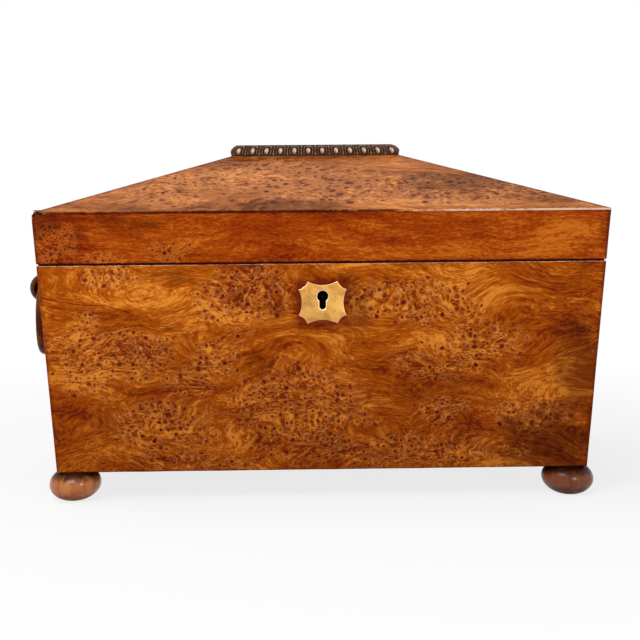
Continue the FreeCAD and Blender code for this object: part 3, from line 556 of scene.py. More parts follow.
def make_straight_grain():
    """Group: straight-grained wood, its grain along the first axis."""
    graph, given, out = new_group(
        "Straight grain", {"Place": "vector", "Dark": "colour", "Light": "colour"},
        {"Colour": "colour", "Height": "value"})
    place = graph.millimetres(given["Place"])
    place = graph.vectors("ADD", place, graph.drift(place, (0.006, 0.03, 0.03), 9.0))
    rings = graph.clouds(place, (0.006, 0.24, 0.24), 3.0, 0.6)
    figure = graph.clouds(place, (0.02, 0.035, 0.035), 2.0)
    pores = graph.ease(graph.clouds(place, (0.09, 2.1, 2.1), 1.0), 0.58, 0.70)
    tone = graph.sum(graph.ease(rings, 0.32, 0.68), graph.swing(figure, 0.9), graph.times(pores, -0.45))
    graph.put(out["Colour"], graph.mix(graph.ease(tone, -0.2, 1.1), given["Dark"], given["Light"]))
    graph.put(out["Height"], graph.sum(graph.swing(rings, 0.4), graph.times(pores, -0.8)))


def make_edge_wear():
    """Group: a broken line of wear along an edge, from its distance in millimetres and how much is worn."""
    graph, given, out = new_group(
        "Edge wear", {"Place": "vector", "Distance": "value", "Width": "value", "Amount": "value"},
        {"Mask": "value"})
    place = graph.millimetres(given["Place"])
    ragged = graph.times(graph.swing(graph.clouds(place, 0.45, 3.0, 0.6), 2.0), given["Width"])
    near = graph.ease(
        graph.sum(given["Distance"], ragged), given["Width"], graph.times(given["Width"], 0.3))
    least = graph.sum(0.74, graph.times(given["Amount"], -0.52))
    whole = graph.ease(graph.clouds(place, 0.09, 4.0, 0.7), least, graph.sum(least, 0.22))
    graph.put(out["Mask"], graph.times(near, whole))


def make_handling():
    """Group: dull patches and fine scratches in a polish."""
    graph, given, out = new_group("Handling", {"Place": "vector"}, {"Dull": "value", "Height": "value"})
    place = graph.millimetres(given["Place"])
    smear = graph.ease(graph.clouds(place, 0.045, 4.0, 0.6), 0.40, 0.70)
    bent = graph.vectors("ADD", place, graph.drift(place, 0.02, 30.0))
    scratches = graph.most(
        graph.ease(graph.clouds(bent, (0.03, 1.3, 1.3), 1.0), 0.69, 0.75),
        graph.ease(graph.clouds(bent, (1.1, 0.035, 1.1), 1.0), 0.71, 0.77))
    graph.put(out["Dull"], graph.most(graph.times(smear, 0.7), scratches))
    graph.put(out["Height"], graph.sum(graph.times(scratches, -0.6), graph.times(smear, 0.2)))


def make_tarnish():
    """Group: old metal, toned in blotches, with brushed lines and small spots."""
    graph, given, out = new_group(
        "Tarnish", {"Place": "vector", "Bright": "colour", "Dull": "colour"},
        {"Colour": "colour", "Roughness": "value", "Height": "value"})
    place = graph.millimetres(given["Place"])
    blotch = graph.clouds(place, 0.16, 4.0, 0.62)
    grain = graph.clouds(place, 1.9, 2.0, 0.6)
    brushed = graph.clouds(place, (0.12, 3.2, 3.2), 2.0)
    spots = graph.ease(graph.clouds(place, 0.75, 2.0), 0.66, 0.74)
    toned = graph.sum(
        graph.ease(blotch, 0.36, 0.66), graph.swing(grain, 0.9), graph.times(spots, 0.5))
    graph.put(out["Colour"], graph.mix(graph.ease(toned, 0.0, 1.1), given["Bright"], given["Dull"]))
    graph.put(out["Roughness"], graph.sum(
        0.30, graph.times(blotch, 0.22), graph.swing(brushed, 0.12), graph.times(spots, 0.2)))
    graph.put(out["Height"], graph.sum(
        graph.swing(brushed, 0.5), graph.swing(grain, 0.4), graph.times(spots, -0.5)))


def make_fibres():
    """Group: fine fibres that lie all ways, as in paper or pressed pile."""
    graph, given, out = new_group("Fibres", {"Place": "vector"}, {"Fleck": "value", "Height": "value"})
    place = graph.millimetres(given["Place"])
    bent = graph.vectors("ADD", place, graph.drift(place, 0.5, 3.0))
    threads = graph.most(
        graph.clouds(bent, (0.35, 3.4, 2.1), 1.0), graph.clouds(bent, (3.1, 0.4, 2.7), 1.0))
    worn = graph.clouds(place, 0.06, 4.0, 0.6)
    graph.put(out["Fleck"], graph.sum(graph.swing(threads, 0.8), graph.ease(worn, 0.35, 0.70)))
    graph.put(out["Height"], threads)


# Finishes

def plain(value):
    """A setting's colour with its alpha."""
    return (*value, 1.0)


def new_finish(name, **constants):
    """A material as itself, its graph and its shader, with values that are the same all over."""
    material = bpy.data.materials.new(name)
    material.use_nodes = True
    shader = material.node_tree.nodes["Principled BSDF"]
    for key, value in constants.items():
        shader.inputs[key.replace("_", " ")].default_value = value
    return material, Graph(material.node_tree), shader.inputs


def set_surface(graph, shader, tint, roughness, height, millimetres, strength=1.0):
    """Joins a colour, a roughness, and a bump from a height of so many millimetres to a shader."""
    bump = graph.add("ShaderNodeBump", {"Height": height, "Distance": millimetres * MM, "Strength": strength})
    graph.put(shader["Base Color"], tint)
    graph.put(shader["Roughness"], roughness)
    graph.put(shader["Normal"], bump.outputs["Normal"])


def burl_wood(graph, tints, **inputs):
    """The outputs of the burl figure in a veneer's colours."""
    labels = ("Shade", "Ground", "Gold", "Tan", "Pip")
    colours = {label: plain(getattr(tints, label.lower())) for label in labels}
    return graph.group("Burl figure", **inputs, **colours)


def grain_lines(graph, place):
    """Thin dark lines at given offsets, each fading out at its ends, the crack the darkest."""
    across = graph.split(graph.millimetres(place))[0]
    found = 0.0
    for i, offset in enumerate(graph.split(graph.attribute("lines"))):
        first, last = FRONT_LINES[i][0][0], FRONT_LINES[i][-1][0]
        drawn = graph.times(
            graph.ease(graph.size(offset), 0.42, 0.08),
            graph.ease(across, first - 1.0, first + 4.0), graph.ease(across, last, last - 10.0))
        found = graph.most(found, graph.times(drawn, 0.9 if i == 0 else 0.65))
    return found


def plate_grime_and_shade(graph, millimetres):
    """Grime and painted shade in the front veneer round the escutcheon, uneven, and gone three millimetres
    out.
    """
    low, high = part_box("escutcheon")
    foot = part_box("front_veneer")[0].z
    across, up, _ = graph.split(millimetres)
    middle = ((low.z + high.z) / 2 - foot) / MM
    aside = graph.times(graph.size(across), 2 * MM / (high.x - low.x))
    beyond = graph.size(graph.times(graph.sum(up, -middle), 2 * MM / (high.z - low.z)))
    uneven = graph.swing(graph.clouds(millimetres, 0.25, 3.0), 0.5)
    return graph.ease(graph.sum(graph.most(aside, beyond), uneven), 1.24, 0.94)


def veneer_finish(name, tints, coarse, swirl, gloss, mitre_band, foot_band, low_shade_amount, lined=False):
    """French-polished burl: its figure, stains, painted shade and rubbed edges.

    Coarse is how much larger than usual the figure is. The mitre band gives the width in millimetres and the
    amount of the painted shade along the mitres, the foot band the widths of the painted shade line and the
    pale line along the foot, and the low shade amount how far the sheet darkens towards its foot, as painted
    shade.
    """
    material, graph, shader = new_finish(name, Specular_IOR_Level=gloss, Coat_Roughness=0.14)
    place = graph.attribute("place")
    burl, stain_and_shade, glow = graph.split(graph.attribute("figure"))
    top, bottom, mitre = graph.split(graph.attribute("borders"))
    pale_top, pale_bottom, dark_bottom = graph.split(graph.attribute("edges"))
    wood = burl_wood(graph, tints, Place=graph.scaled(place, 1.0 / coarse), Burl=burl, Glow=glow, Swirl=swirl)
    worn = graph.group("Handling", Place=place)

    millimetres = graph.millimetres(place)
    cloudy = graph.clouds(millimetres, (0.07, 0.11, 0.11), 4.0, 0.6)
    # Stains, with the painted shade along the right edges of the front and the rim
    stain_and_shaded = graph.ease(graph.sum(stain_and_shade, graph.swing(cloudy, 1.3)), 0.30, 0.95)
    dark = graph.dyed(wood["Colour"], STAIN_AND_SHADE_DYE)
    tint = graph.mix(graph.times(stain_and_shaded, 0.80), wood["Colour"], dark)
    # Painted shade: the sheet darkens towards its foot, where the light falls off lower down
    low_shade = graph.ease(graph.sum(bottom, graph.swing(cloudy, 50.0)), 105.0, 0.0, 0.0, low_shade_amount)
    tint = graph.mix(low_shade, tint, graph.dyed(tint, LOW_SHADE_DYE))

    def edge(distance, width, amount):
        """The worn line along one edge."""
        return graph.group("Edge wear", Place=place, Distance=distance, Width=width, Amount=amount)["Mask"]

    # Painted shade along the mitres, where the corners and the hips turn away from the light
    shadow = edge(mitre, *mitre_band)
    # Painted shade along the foot: the shadow line of the seam and the eave
    foot = edge(bottom, foot_band[0], dark_bottom)
    tint = graph.mix(graph.times(shadow, 0.62), tint, plain(tints.pip))
    tint = graph.mix(graph.times(foot, 0.95), tint, graph.dyed(tint, FOOT_LINE_SHADE_DYE))
    if lined:
        # Grime and painted shade round the escutcheon
        tint = graph.mix(graph.times(plate_grime_and_shade(graph, millimetres), 0.8), tint, plain(tints.pip))
        tint = graph.mix(grain_lines(graph, place), tint, plain(tints.pip))
    arris = graph.times(edge(mitre, 0.50, 0.40), 0.6)
    ends = graph.most(edge(top, 0.42, pale_top), edge(bottom, foot_band[1], pale_bottom))
    rubbed = graph.most(ends, arris)
    tint = graph.mix(graph.times(rubbed, 0.85), tint, plain(tints.worn))

    roughness = graph.sum(
        0.27, graph.times(worn["Dull"], 0.16), graph.times(rubbed, 0.30), graph.times(stain_and_shaded, 0.08),
        graph.swing(wood["Height"], 0.10))
    relief = graph.sum(wood["Height"], graph.times(worn["Height"], 0.5))
    set_surface(graph, shader, tint, roughness, relief, millimetres=0.05, strength=0.6)
    polish = graph.rest(graph.most(rubbed, graph.times(worn["Dull"], 0.8)))
    graph.put(shader["Coat Weight"], graph.times(polish, gloss))
    return material


def body_veneer(name, tints, lined=False):
    """Burl of the body, with painted shade towards its foot and along its corners."""
    return veneer_finish(
        name, tints, coarse=1.0, swirl=1.0, gloss=0.025, mitre_band=(2.2, 0.80), foot_band=(0.9, 0.5),
        low_shade_amount=0.62, lined=lined)


def rim_veneer(tints):
    """Burl of the rim: plain and straight."""
    return veneer_finish(
        "rim veneer", tints, coarse=0.8, swirl=0.30, gloss=0.025, mitre_band=(2.2, 0.95),
        foot_band=(0.8, 0.4), low_shade_amount=0.0)


def roof_veneer(tints):
    """Faded burl of the roof, with larger pips."""
    return veneer_finish(
        "roof veneer", tints, coarse=1.6, swirl=0.60, gloss=0.02, mitre_band=(2.6, 0.95),
        foot_band=(1.0, 0.4), low_shade_amount=0.0)


def tablet_wood(tints, cap):
    """The cap's level top: burl, darkened with old wax."""
    material, graph, shader = new_finish("cap tablet", Specular_IOR_Level=0.2)
    place = graph.object_place()
    wood = burl_wood(graph, tints, Place=place, Burl=0.45, Glow=0.0, Swirl=0.8)
    worn = graph.group("Handling", Place=place)
    darkened = graph.mix(graph.times(worn["Dull"], 0.45), wood["Colour"], plain(cap.dark))
    roughness = graph.sum(0.30, graph.times(worn["Dull"], 0.2))
    relief = graph.sum(wood["Height"], worn["Height"])
    set_surface(graph, shader, darkened, roughness, relief, millimetres=0.05, strength=0.6)
    return material


def carved_wood(cap):
    """Dark waxed wood, rubbed on its high spots, with wax and painted shade in its hollows and painted glints
    on its eggs.
    """
    material, graph, shader = new_finish("carved wood", Specular_IOR_Level=0.08, Coat_Roughness=0.12)
    place = graph.object_place()
    hollow, high, painted_glint = graph.split(graph.attribute("carving"))
    wood = graph.group("Straight grain", Place=place, Dark=plain(cap.dark), Light=plain(cap.light))
    worn = graph.group("Handling", Place=place)
    ragged = graph.swing(graph.clouds(graph.millimetres(place), 0.8, 3.0), 0.7)
    rubbed = graph.ease(graph.sum(high, ragged), 0.28, 0.85)
    # Wax and dust, with painted shade, in the hollows
    hollow_wax_and_shade = graph.ease(graph.sum(hollow, ragged), 0.25, 0.75)
    tint = graph.mix(graph.times(rubbed, 0.65), wood["Colour"], plain(cap.light))
    tint = graph.mix(graph.times(hollow_wax_and_shade, 0.92), tint, plain(cap.dirt_and_shade))
    # Painted glints on the eggs
    tint = graph.mix(graph.times(graph.ease(painted_glint, 0.40, 0.85), 0.85), tint, plain(cap.painted_glint))
    roughness = graph.sum(
        0.24, graph.times(hollow_wax_and_shade, 0.45), graph.times(worn["Dull"], 0.12), graph.times(rubbed, -0.06))
    relief = graph.sum(wood["Height"], worn["Height"])
    set_surface(graph, shader, tint, roughness, relief, millimetres=0.06, strength=0.7)
    graph.put(shader["Coat Weight"], graph.times(rubbed, 0.95))
    return material


def turned_wood(name, light, dark, dirt_and_shade, polish, shade_height=None):
    """Dark polished turnings, paler where they are rubbed.

    Those with a shade height are painted dark above it as the shade under the box, and get painted shade near
    the floor and on the box's right.
    """
    material, graph, shader = new_finish(name, Specular_IOR_Level=0.03, Coat_Roughness=0.24)
    place = graph.object_place()
    across, along, up = graph.split(place)
    upright = graph.add("ShaderNodeCombineXYZ", {0: up, 1: across, 2: along}).outputs[0]
    wood = graph.group("Straight grain", Place=upright, Dark=plain(dark), Light=plain(light))
    worn = graph.group("Handling", Place=place)
    rubbed = graph.ease(graph.clouds(graph.millimetres(place), 0.10, 3.0, 0.6), 0.48, 0.72)
    tint = graph.mix(graph.times(rubbed, 0.45), wood["Colour"], plain(light))
    unshaded = 1.0
    if shade_height is not None:
        ragged = graph.times(graph.swing(graph.clouds(graph.millimetres(place), 0.35, 3.0), 4.0), MM)
        # Painted shade under the box, above the shade height
        shaded = graph.ease(graph.sum(up, ragged), shade_height - 2.5 * MM, shade_height + 3.0 * MM)
        # Painted shade near the floor, where less light reaches the underside of the foot
        darkened = graph.ease(graph.sum(up, ragged), 6.5 * MM, 1.5 * MM)
        tint = graph.mix(darkened, tint, graph.dyed(tint, SOLE_SHADE_DYE))
        # Painted shade on the feet on the box's right, away from the key light
        tint = graph.mix(graph.ease(across, -50 * MM, 50 * MM), tint, graph.dyed(tint, RIGHT_SHADE_DYE))
        tint = graph.mix(graph.times(shaded, 0.96), tint, plain(dirt_and_shade))
        unshaded = graph.rest(graph.most(shaded, darkened))
    roughness = graph.sum(0.24, graph.times(worn["Dull"], 0.22), graph.times(rubbed, 0.10))
    relief = graph.sum(wood["Height"], worn["Height"])
    set_surface(graph, shader, tint, roughness, relief, millimetres=0.05, strength=0.7)
    gloss = graph.sum(polish, graph.times(worn["Dull"], -0.4 * polish))
    graph.put(shader["Coat Weight"], graph.times(gloss, unshaded))
    return material


def near_keyhole(graph, place):
    """1 round the keyhole's axis and below it, where the lock lies, fading out under the seam."""
    low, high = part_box("escutcheon")
    across, _, up = graph.split(place)
    aside = graph.ease(graph.size(across), 9 * MM, 5 * MM)
    return graph.times(aside, graph.ease(up, high.z + 3 * MM, high.z), graph.ease(up, low.z - 4 * MM, low.z))


def gap_shade(graph, place):
    """1 on the outer edges of the boards along the seam and the eave, where painted shade darkens the gaps.
    """
    low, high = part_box("lid_front_rim_veneer")
    across, along, up = graph.split(place)
    outer = graph.most(
        graph.ease(graph.size(across), high.x - 6 * MM, high.x - 4 * MM),
        graph.ease(graph.size(along), -low.y - 6 * MM, -low.y - 4 * MM))
    seam = graph.ease(graph.size(graph.sum(up, -low.z)), 1.8 * MM, 0.9 * MM)
    return graph.times(outer, graph.most(seam, graph.ease(up, high.z - 2 * MM, high.z - MM)))


def board_wood(name, inside, lengthwise, keyhole=False):
    """Planed wood of the boards, grain along X, or along Y on the sides, with painted shade inside a keyhole
    and in the seam and eave gaps.
    """
    material, graph, shader = new_finish(name, Specular_IOR_Level=0.04)
    place = graph.object_place()
    # Mask of the painted shade on the board edges in the seam and eave gaps
    polished = gap_shade(graph, place)
    if not lengthwise:
        across, along, up = graph.split(place)
        place = graph.add("ShaderNodeCombineXYZ", {0: along, 1: across, 2: up}).outputs[0]
    wood = graph.group(
        "Straight grain", Place=place, Dark=plain(inside.wood_dark), Light=plain(inside.wood_light))
    worn = graph.group("Handling", Place=place)
    grime_and_shade = graph.mix(graph.times(worn["Dull"], 0.35), wood["Colour"], plain(inside.wood_dark))
    if keyhole:
        # Painted shade inside the keyhole
        grime_and_shade = graph.mix(graph.times(near_keyhole(graph, place), 0.95), grime_and_shade, KEYHOLE_SHADE_WOOD)
    # Painted shade on the board edges in the seam and eave gaps
    grime_and_shade = graph.mix(graph.times(polished, 0.96), grime_and_shade, GAP_SHADE_DARK)
    roughness = graph.sum(0.48, graph.times(worn["Dull"], 0.2))
    set_surface(graph, shader, grime_and_shade, roughness, wood["Height"], millimetres=0.08, strength=0.7)
    return material


def old_metal(name, bright, dull, keyhole=False, edges=None):
    """Brass or steel, toned by age, with painted shade behind a keyhole, and brighter on rubbed edges."""
    material, graph, shader = new_finish(name, Metallic=1.0)
    place = graph.object_place()
    metal = graph.group("Tarnish", Place=place, Bright=plain(bright), Dull=plain(dull))
    worn = graph.group("Handling", Place=place)
    tint, keyhole_shade = metal["Colour"], 0.0
    if keyhole:
        # Painted shade on the lock behind the keyhole
        keyhole_shade = near_keyhole(graph, place)
        tint = graph.mix(graph.times(keyhole_shade, 0.96), tint, KEYHOLE_SHADE_METAL)
    if edges:
        tint = graph.mix(graph.times(graph.split(graph.attribute("rubbed"))[0], 0.85), tint, plain(edges))
    roughness = graph.sum(metal["Roughness"], graph.times(worn["Dull"], 0.10), graph.times(keyhole_shade, 0.3))
    relief = graph.sum(metal["Height"], worn["Height"])
    set_surface(graph, shader, tint, roughness, relief, millimetres=0.03, strength=0.6)
    return material


def lining_finish(name, fresh, faded, roughness, millimetres, **constants):
    """Paper or velvet with fibres so many millimetres high, paler where it is rubbed."""
    material, graph, shader = new_finish(name, Specular_IOR_Level=0.15, **constants)
    lint = graph.group("Fibres", Place=graph.object_place())
    tint = graph.mix(graph.ease(lint["Fleck"], 0.0, 1.0), plain(fresh), plain(faded))
    uneven = graph.sum(roughness, graph.swing(lint["Fleck"], 0.12))
    set_surface(graph, shader, tint, uneven, lint["Height"], millimetres)
    return material


# Meshes

def new_mesh(name, points, faces):
    """A mesh with smooth faces and sharp creases."""
    mesh = bpy.data.meshes.new(name)
    mesh.from_pydata([tuple(point) for point in points], [], [tuple(map(int, face)) for face in faces])
    mesh.validate()
    mesh.shade_smooth()
    mesh.set_sharp_from_angle(angle=CREASE)
    return mesh


def keep(mesh, name, values):
    """Keeps a vector at each point of a mesh."""
    attribute = mesh.attributes.new(name, "FLOAT_VECTOR", "POINT")
    attribute.data.foreach_set("vector", np.asarray(values, np.float32).ravel())


def add_object(name, data):
    """A new object in the scene."""
    thing = bpy.data.objects.new(name, data)
    bpy.context.scene.collection.objects.link(thing)
    return thing


def place_piece(name, mesh, material, body, slot, *nodes):
    """A piece of the box that rides on a body and stands for nodes."""
    piece = add_object(name, mesh)
    mesh.materials.append(material)
    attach(piece, body)
    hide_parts(*nodes)
    return piece


def node_slots():
    """The record's material slot of each node."""
    return {part["node"]: part["material_slot"] for part in frame["record"]["subparts"]}


def dress(node, material):
    """Gives a node of the frame its finish."""
    piece = frame["nodes"][node]
    if not piece.material_slots:
        piece.data.materials.append(None)
    for slot in piece.material_slots:
        slot.material = material
    return piece


def soften(node, millimetres):
    """Rounds the sharp edges of a node of the frame."""
    piece = frame["nodes"][node]
    weld = piece.modifiers.new("Joined corners", "WELD")
    weld.merge_threshold = 2e-6
    bevel = piece.modifiers.new("Soft edges", "BEVEL")
    bevel.width = millimetres * MM
    bevel.segments = 2
    bevel.limit_method = "ANGLE"
    bevel.angle_limit = math.radians(40)
    bevel.use_clamp_overlap = True
    normals = piece.modifiers.new("Even shading", "WEIGHTED_NORMAL")
    normals.keep_sharp = False


def grid_faces(rows, columns, start=0, flip=False):
    """Faces of a grid of points, counted row by row."""
    index = start + np.arange(rows * columns).reshape(rows, columns)
    quads = np.stack([index[:-1, :-1], index[:-1, 1:], index[1:, 1:], index[1:, :-1]], -1).reshape(-1, 4)
    return quads[:, ::-1] if flip else quads


def loop_faces(rows, count, closed=False):
    """Faces between loops of points, each of the same count, and from the last to the first if closed."""
    faces = []
    for row in range(rows if closed else rows - 1):
        lower, upper = row * count, (row + 1) % rows * count
        for i in range(count):
            j = (i + 1) % count
            faces.append((lower + i, lower + j, upper + j, upper + i))
    return faces


def closed_sheet(name, outer, inner):
    """A closed mesh between two grids of points, joined along their rims."""
    high, wide = outer.shape[:2]
    count = high * wide
    index = np.arange(count).reshape(high, wide)
    rim = np.concatenate([index[0, :-1], index[:-1, -1], index[-1, :0:-1], index[:0:-1, 0]])
    following = np.roll(rim, -1)
    walls = np.stack([rim, rim + count, following + count, following], -1)
    faces = np.concatenate([grid_faces(high, wide), grid_faces(high, wide, count, True), walls])
    return new_mesh(name, np.concatenate([outer.reshape(-1, 3), inner.reshape(-1, 3)]), faces)


def lathe(profile, count):
    """Points and faces turned from (radius, height) pairs that start and end on the axis."""
    turns = np.linspace(0, 2 * math.pi, count, endpoint=False)
    rings = [
        np.stack([radius * np.cos(turns), radius * np.sin(turns), np.full(count, height)], -1)
        for radius, height in profile[1:-1]]
    points = np.concatenate(rings + [[[0, 0, profile[0][1]], [0, 0, profile[-1][1]]]])
    faces = loop_faces(len(rings), count)
    top = (len(rings) - 1) * count
    bottom_pole, top_pole = len(points) - 2, len(points) - 1
    for i in range(count):
        j = (i + 1) % count
        faces.append((bottom_pole, j, i))
        faces.append((top_pole, top + i, top + j))
    return points, faces


# Veneers

RIPPLE_FADE = 8 * MM  # How far from its edges a sheet is flat
EDGE_PULL = 6 * MM  # How far in a straying edge takes the sheet with it
HIP_REACH = 2.2 * MM  # How far from the hips the roof is worn
END_STEPS = (0.0, 0.1, 0.22, 0.36, 0.6, 1.0, 1.8)  # Mesh lines near an edge, in millimetres from it


def spaced(extent, step):
    """Places along a line, close together at both ends."""
    near = [distance * MM for distance in END_STEPS]
    count = max(2, round((extent - 2 * near[-1]) / step))
    middle = np.linspace(near[-1], extent - near[-1], count + 1)
    return np.concatenate([near[:-1], middle, extent - np.array(near[-2::-1])]) / extent


def blots(across, up, patches):
    """How strongly hand-placed patches cover each place."""
    cover = np.zeros_like(across)
    for middle, height, half_width, half_height, strength in patches:
        reach = np.hypot((across / MM - middle) / half_width, (up / MM - height) / half_height)
        cover = np.maximum(cover, strength * np.clip(1.5 - reach, 0, 1))
    return cover


def chance_patches(chance, width, height, count, small, large):
    """Patches of figure set down by chance, in millimetres."""
    patches = []
    for _ in range(count):
        half = chance.uniform(small, large)
        patches.append((
            chance.uniform(-0.5, 0.5) * width / MM, chance.uniform(0, 1) * height / MM,
            half, half * chance.uniform(0.35, 0.65), chance.uniform(0.6, 1.0)))
    return patches


class Veneer:
    """One flat veneer of the frame: its corners, and where a point lies on it."""

    def __init__(self, node, side, slope):
        self.node = node
        self.index = SIDES.index(side)
        heading = math.radians(90 * self.index)
        self.right = np.array((math.cos(heading), math.sin(heading), 0))
        level = np.array((math.sin(heading), -math.cos(heading), 0))
        up = np.array(UP) * math.cos(slope) - level * math.sin(slope)
        out = level * math.cos(slope) + np.array(UP) * math.sin(slope)
        points = np.array([vertex.co for vertex in frame["nodes"][node].data.vertices])
        self.outer = self.corners(points, up, out)
        self.inner = self.corners(points, up, -out)
        rise = self.outer[2:].mean(0) - self.outer[:2].mean(0)
        self.height = np.linalg.norm(rise)
        self.up = rise / self.height
        self.out = np.cross(self.right, self.up)
        self.foot = self.outer[:2].mean(0)
        self.half_foot = np.linalg.norm(self.outer[1] - self.outer[0]) / 2
        self.half_head = np.linalg.norm(self.outer[2] - self.outer[3]) / 2

    def corners(self, points, up, out):
        """Corners of one face, from the lower left round to the upper left."""
        found = []
        for across, rise in CORNERS:
            # Height counts most and the face next, as an edge that leans would else take another's corner
            reach = points @ (10 * rise * up + across * self.right + 6 * out)
            found.append(points[reach.argmax()])
        return np.array(found)

    def measure(self, points):
        """How far points lie across from the middle and up from the foot."""
        offset = points - self.foot
        return offset @ self.right, offset @ self.up

    def to_mitres(self, across, up):
        """Distances to the left and right edges."""
        lean = self.half_foot - self.half_head
        run = math.hypot(lean, self.height)
        left = ((self.half_foot + across) * self.height - up * lean) / run
        right = ((self.half_foot - across) * self.height - up * lean) / run
        return left, right


def between(corners, across, up):
    """Points on a face with four corners, at shares of the way across and up."""
    lower = corners[0] * (1 - across) + corners[1] * across
    upper = corners[3] * (1 - across) + corners[2] * across
    return lower * (1 - up) + upper * up


def wander(places, seed, waves):
    """A smooth stray line at places along an edge, from -1 to 1, with so many waves per metre."""
    return np.array([noise.noise(Vector((place * waves, seed, 0.5))) for place in places])


def edge_shift(places, seed, strays, chips):
    """How far in an edge lies at places along it: strays, and chips that are broken out."""
    shift = strays * (1 + wander(places, seed, waves=90.0))
    jagged = 1 + 0.5 * wander(places, seed + 7, waves=900.0)
    for middle, half, depth in chips:
        reach = np.clip(1 - ((places / MM - middle) / half) ** 2, 0, 1)
        shift = np.maximum(shift, depth * MM * np.sqrt(reach) * jagged)
    return shift


def lose_corner(points, corner, radius, veneer):
    """Moves points out of a bite round a broken corner."""
    offset = points - corner
    across, up = offset @ veneer.right, offset @ veneer.up
    reach = np.hypot(across, up)
    far = 1.8 * radius  # Points further off stay where they are
    ragged = 1 + 0.25 * np.sin(np.arctan2(up, across) * 9)
    wanted = radius * ragged + reach * (1 - radius * ragged / far)
    grow = np.where(reach < far, wanted / np.maximum(reach, 1e-6), 1.0)
    middle = veneer.foot + veneer.up * veneer.height / 2 - corner
    middle = middle / np.linalg.norm(middle)
    at_corner = reach < 1e-5
    growth = (grow - 1)[..., None] * (across[..., None] * veneer.right + up[..., None] * veneer.up)
    moved = points + growth
    moved[at_corner] = points[at_corner] + middle * radius
    return moved


def veneer_mesh(veneer, neighbours, sizes, mitre_wear, chips=(), lost=()):
    """A closed sheet with rounded edges, chips, lost corners by radius, and the slow ripple of old veneer."""
    step = sizes.mesh_step
    columns = spaced(2 * veneer.half_foot, step)
    rows = spaced(veneer.height, 2 * step)
    share_across, share_up = np.meshgrid(columns, rows)
    share_across, share_up = share_across[..., None], share_up[..., None]
    outer = between(veneer.outer, share_across, share_up)
    inner = between(veneer.inner, share_across, share_up)
    across, up = veneer.measure(outer)
    left, right = veneer.to_mitres(across, up)
    top, bottom = veneer.height - up, up
    thickness = np.linalg.norm(veneer.outer[0] - veneer.inner[0])

    fade = np.clip(np.minimum(np.minimum(left, right), np.minimum(top, bottom)) / RIPPLE_FADE, 0, 1)
    seed = 3.7 * veneer.index
    # Waves 27 to 84 millimetres long
    slow = np.sin(across * 190 + seed) * np.sin(up * 230 + 2 * seed) + np.sin(across * 75 + up * 120 + seed)
    sink = sizes.ripple * fade * (slow / 4 + 0.5)
    radius = sizes.edge_round
    for distance in (top, bottom):
        short = np.clip(radius - distance, 0, radius)
        sink += radius - np.sqrt(radius ** 2 - short ** 2)
    sink = np.minimum(sink, 0.8 * thickness)

    for row, distance, way, apart, broken in (
            (-1, top, -veneer.up, 3, ()), (0, bottom, veneer.up, 6, chips)):
        shift = edge_shift(across[row], seed + apart, sizes.wander, broken)
        pull = shift[None, :] * np.clip(1 - distance / EDGE_PULL, 0, 1) ** 2
        outer = outer + pull[..., None] * way
        inner = inner + pull[..., None] * way
    for distance, neighbour in zip((left, right), neighbours):
        ends = (veneer.index + (0 if distance is left else 1)) % 4
        depth, reach = mitre_wear(ends, up)
        pull = depth * np.clip(1 - distance / reach, 0, 1) ** 2
        outer = outer - pull[..., None] * (veneer.out + neighbour.out)
    outer = outer - sink[..., None] * veneer.out
    for corner, bite in lost:
        outer = lose_corner(outer, veneer.outer[corner], bite, veneer)
        inner = lose_corner(inner, veneer.inner[corner], bite, veneer)

    return closed_sheet(veneer.node, outer, inner)


def cut_away(mesh, cutters):
    """The mesh with closed meshes cut out of it."""
    blank = add_object("blank", mesh)
    tools = [add_object("tool", cutter) for cutter in cutters]
    for tool in tools:
        cut = blank.modifiers.new("cut", "BOOLEAN")
        cut.object = tool
        cut.solver = "EXACT"
    graph = bpy.context.evaluated_depsgraph_get()
    result = bpy.data.meshes.new_from_object(blank.evaluated_get(graph), depsgraph=graph)
    for left_over in tools + [blank]:
        bpy.data.objects.remove(left_over)
    result.set_sharp_from_angle(angle=CREASE)
    return result


def mark_veneer(mesh, veneer, layer, figure, edges):
    """Keeps at each point its place in the sheet, its figure, its edges' wear and painted shade, and how far
    the edges are.
    """
    points = np.zeros(len(mesh.vertices) * 3)
    mesh.vertices.foreach_get("co", points)
    across, up = veneer.measure(points.reshape(-1, 3))
    left, right = veneer.to_mitres(across, up)
    apart = 0.9 * veneer.index + 4.1 * layer  # In metres, so that no two sheets show the same figure
    keep(mesh, "place", np.stack([across + apart, up, np.full_like(up, apart / 3)], -1))
    keep(mesh, "figure", np.stack([blots(across, up, patches) for patches in figure], -1))
    keep(mesh, "edges", np.stack([np.interp(across / MM, *zip(*knots)) for knots in edges], -1))
    keep(mesh, "borders", np.stack([veneer.height - up, up, np.minimum(left, right)], -1) / MM)
    keep(mesh, "lines", np.stack([up / MM - np.interp(across / MM, *zip(*line)) for line in FRONT_LINES], -1))


def chance_edges(chance, width):
    """Wear and painted shade along the edges of a sheet, set down by chance."""
    places = np.linspace(-0.5, 0.5, 7) * width / MM
    pale_top, pale_bottom, dark_bottom = (0.3, 1.0), (0.0, 0.6), (0.4, 1.0)
    return [
        [(place, chance.uniform(*bounds)) for place in places]
        for bounds in (pale_top, pale_bottom, dark_bottom)]


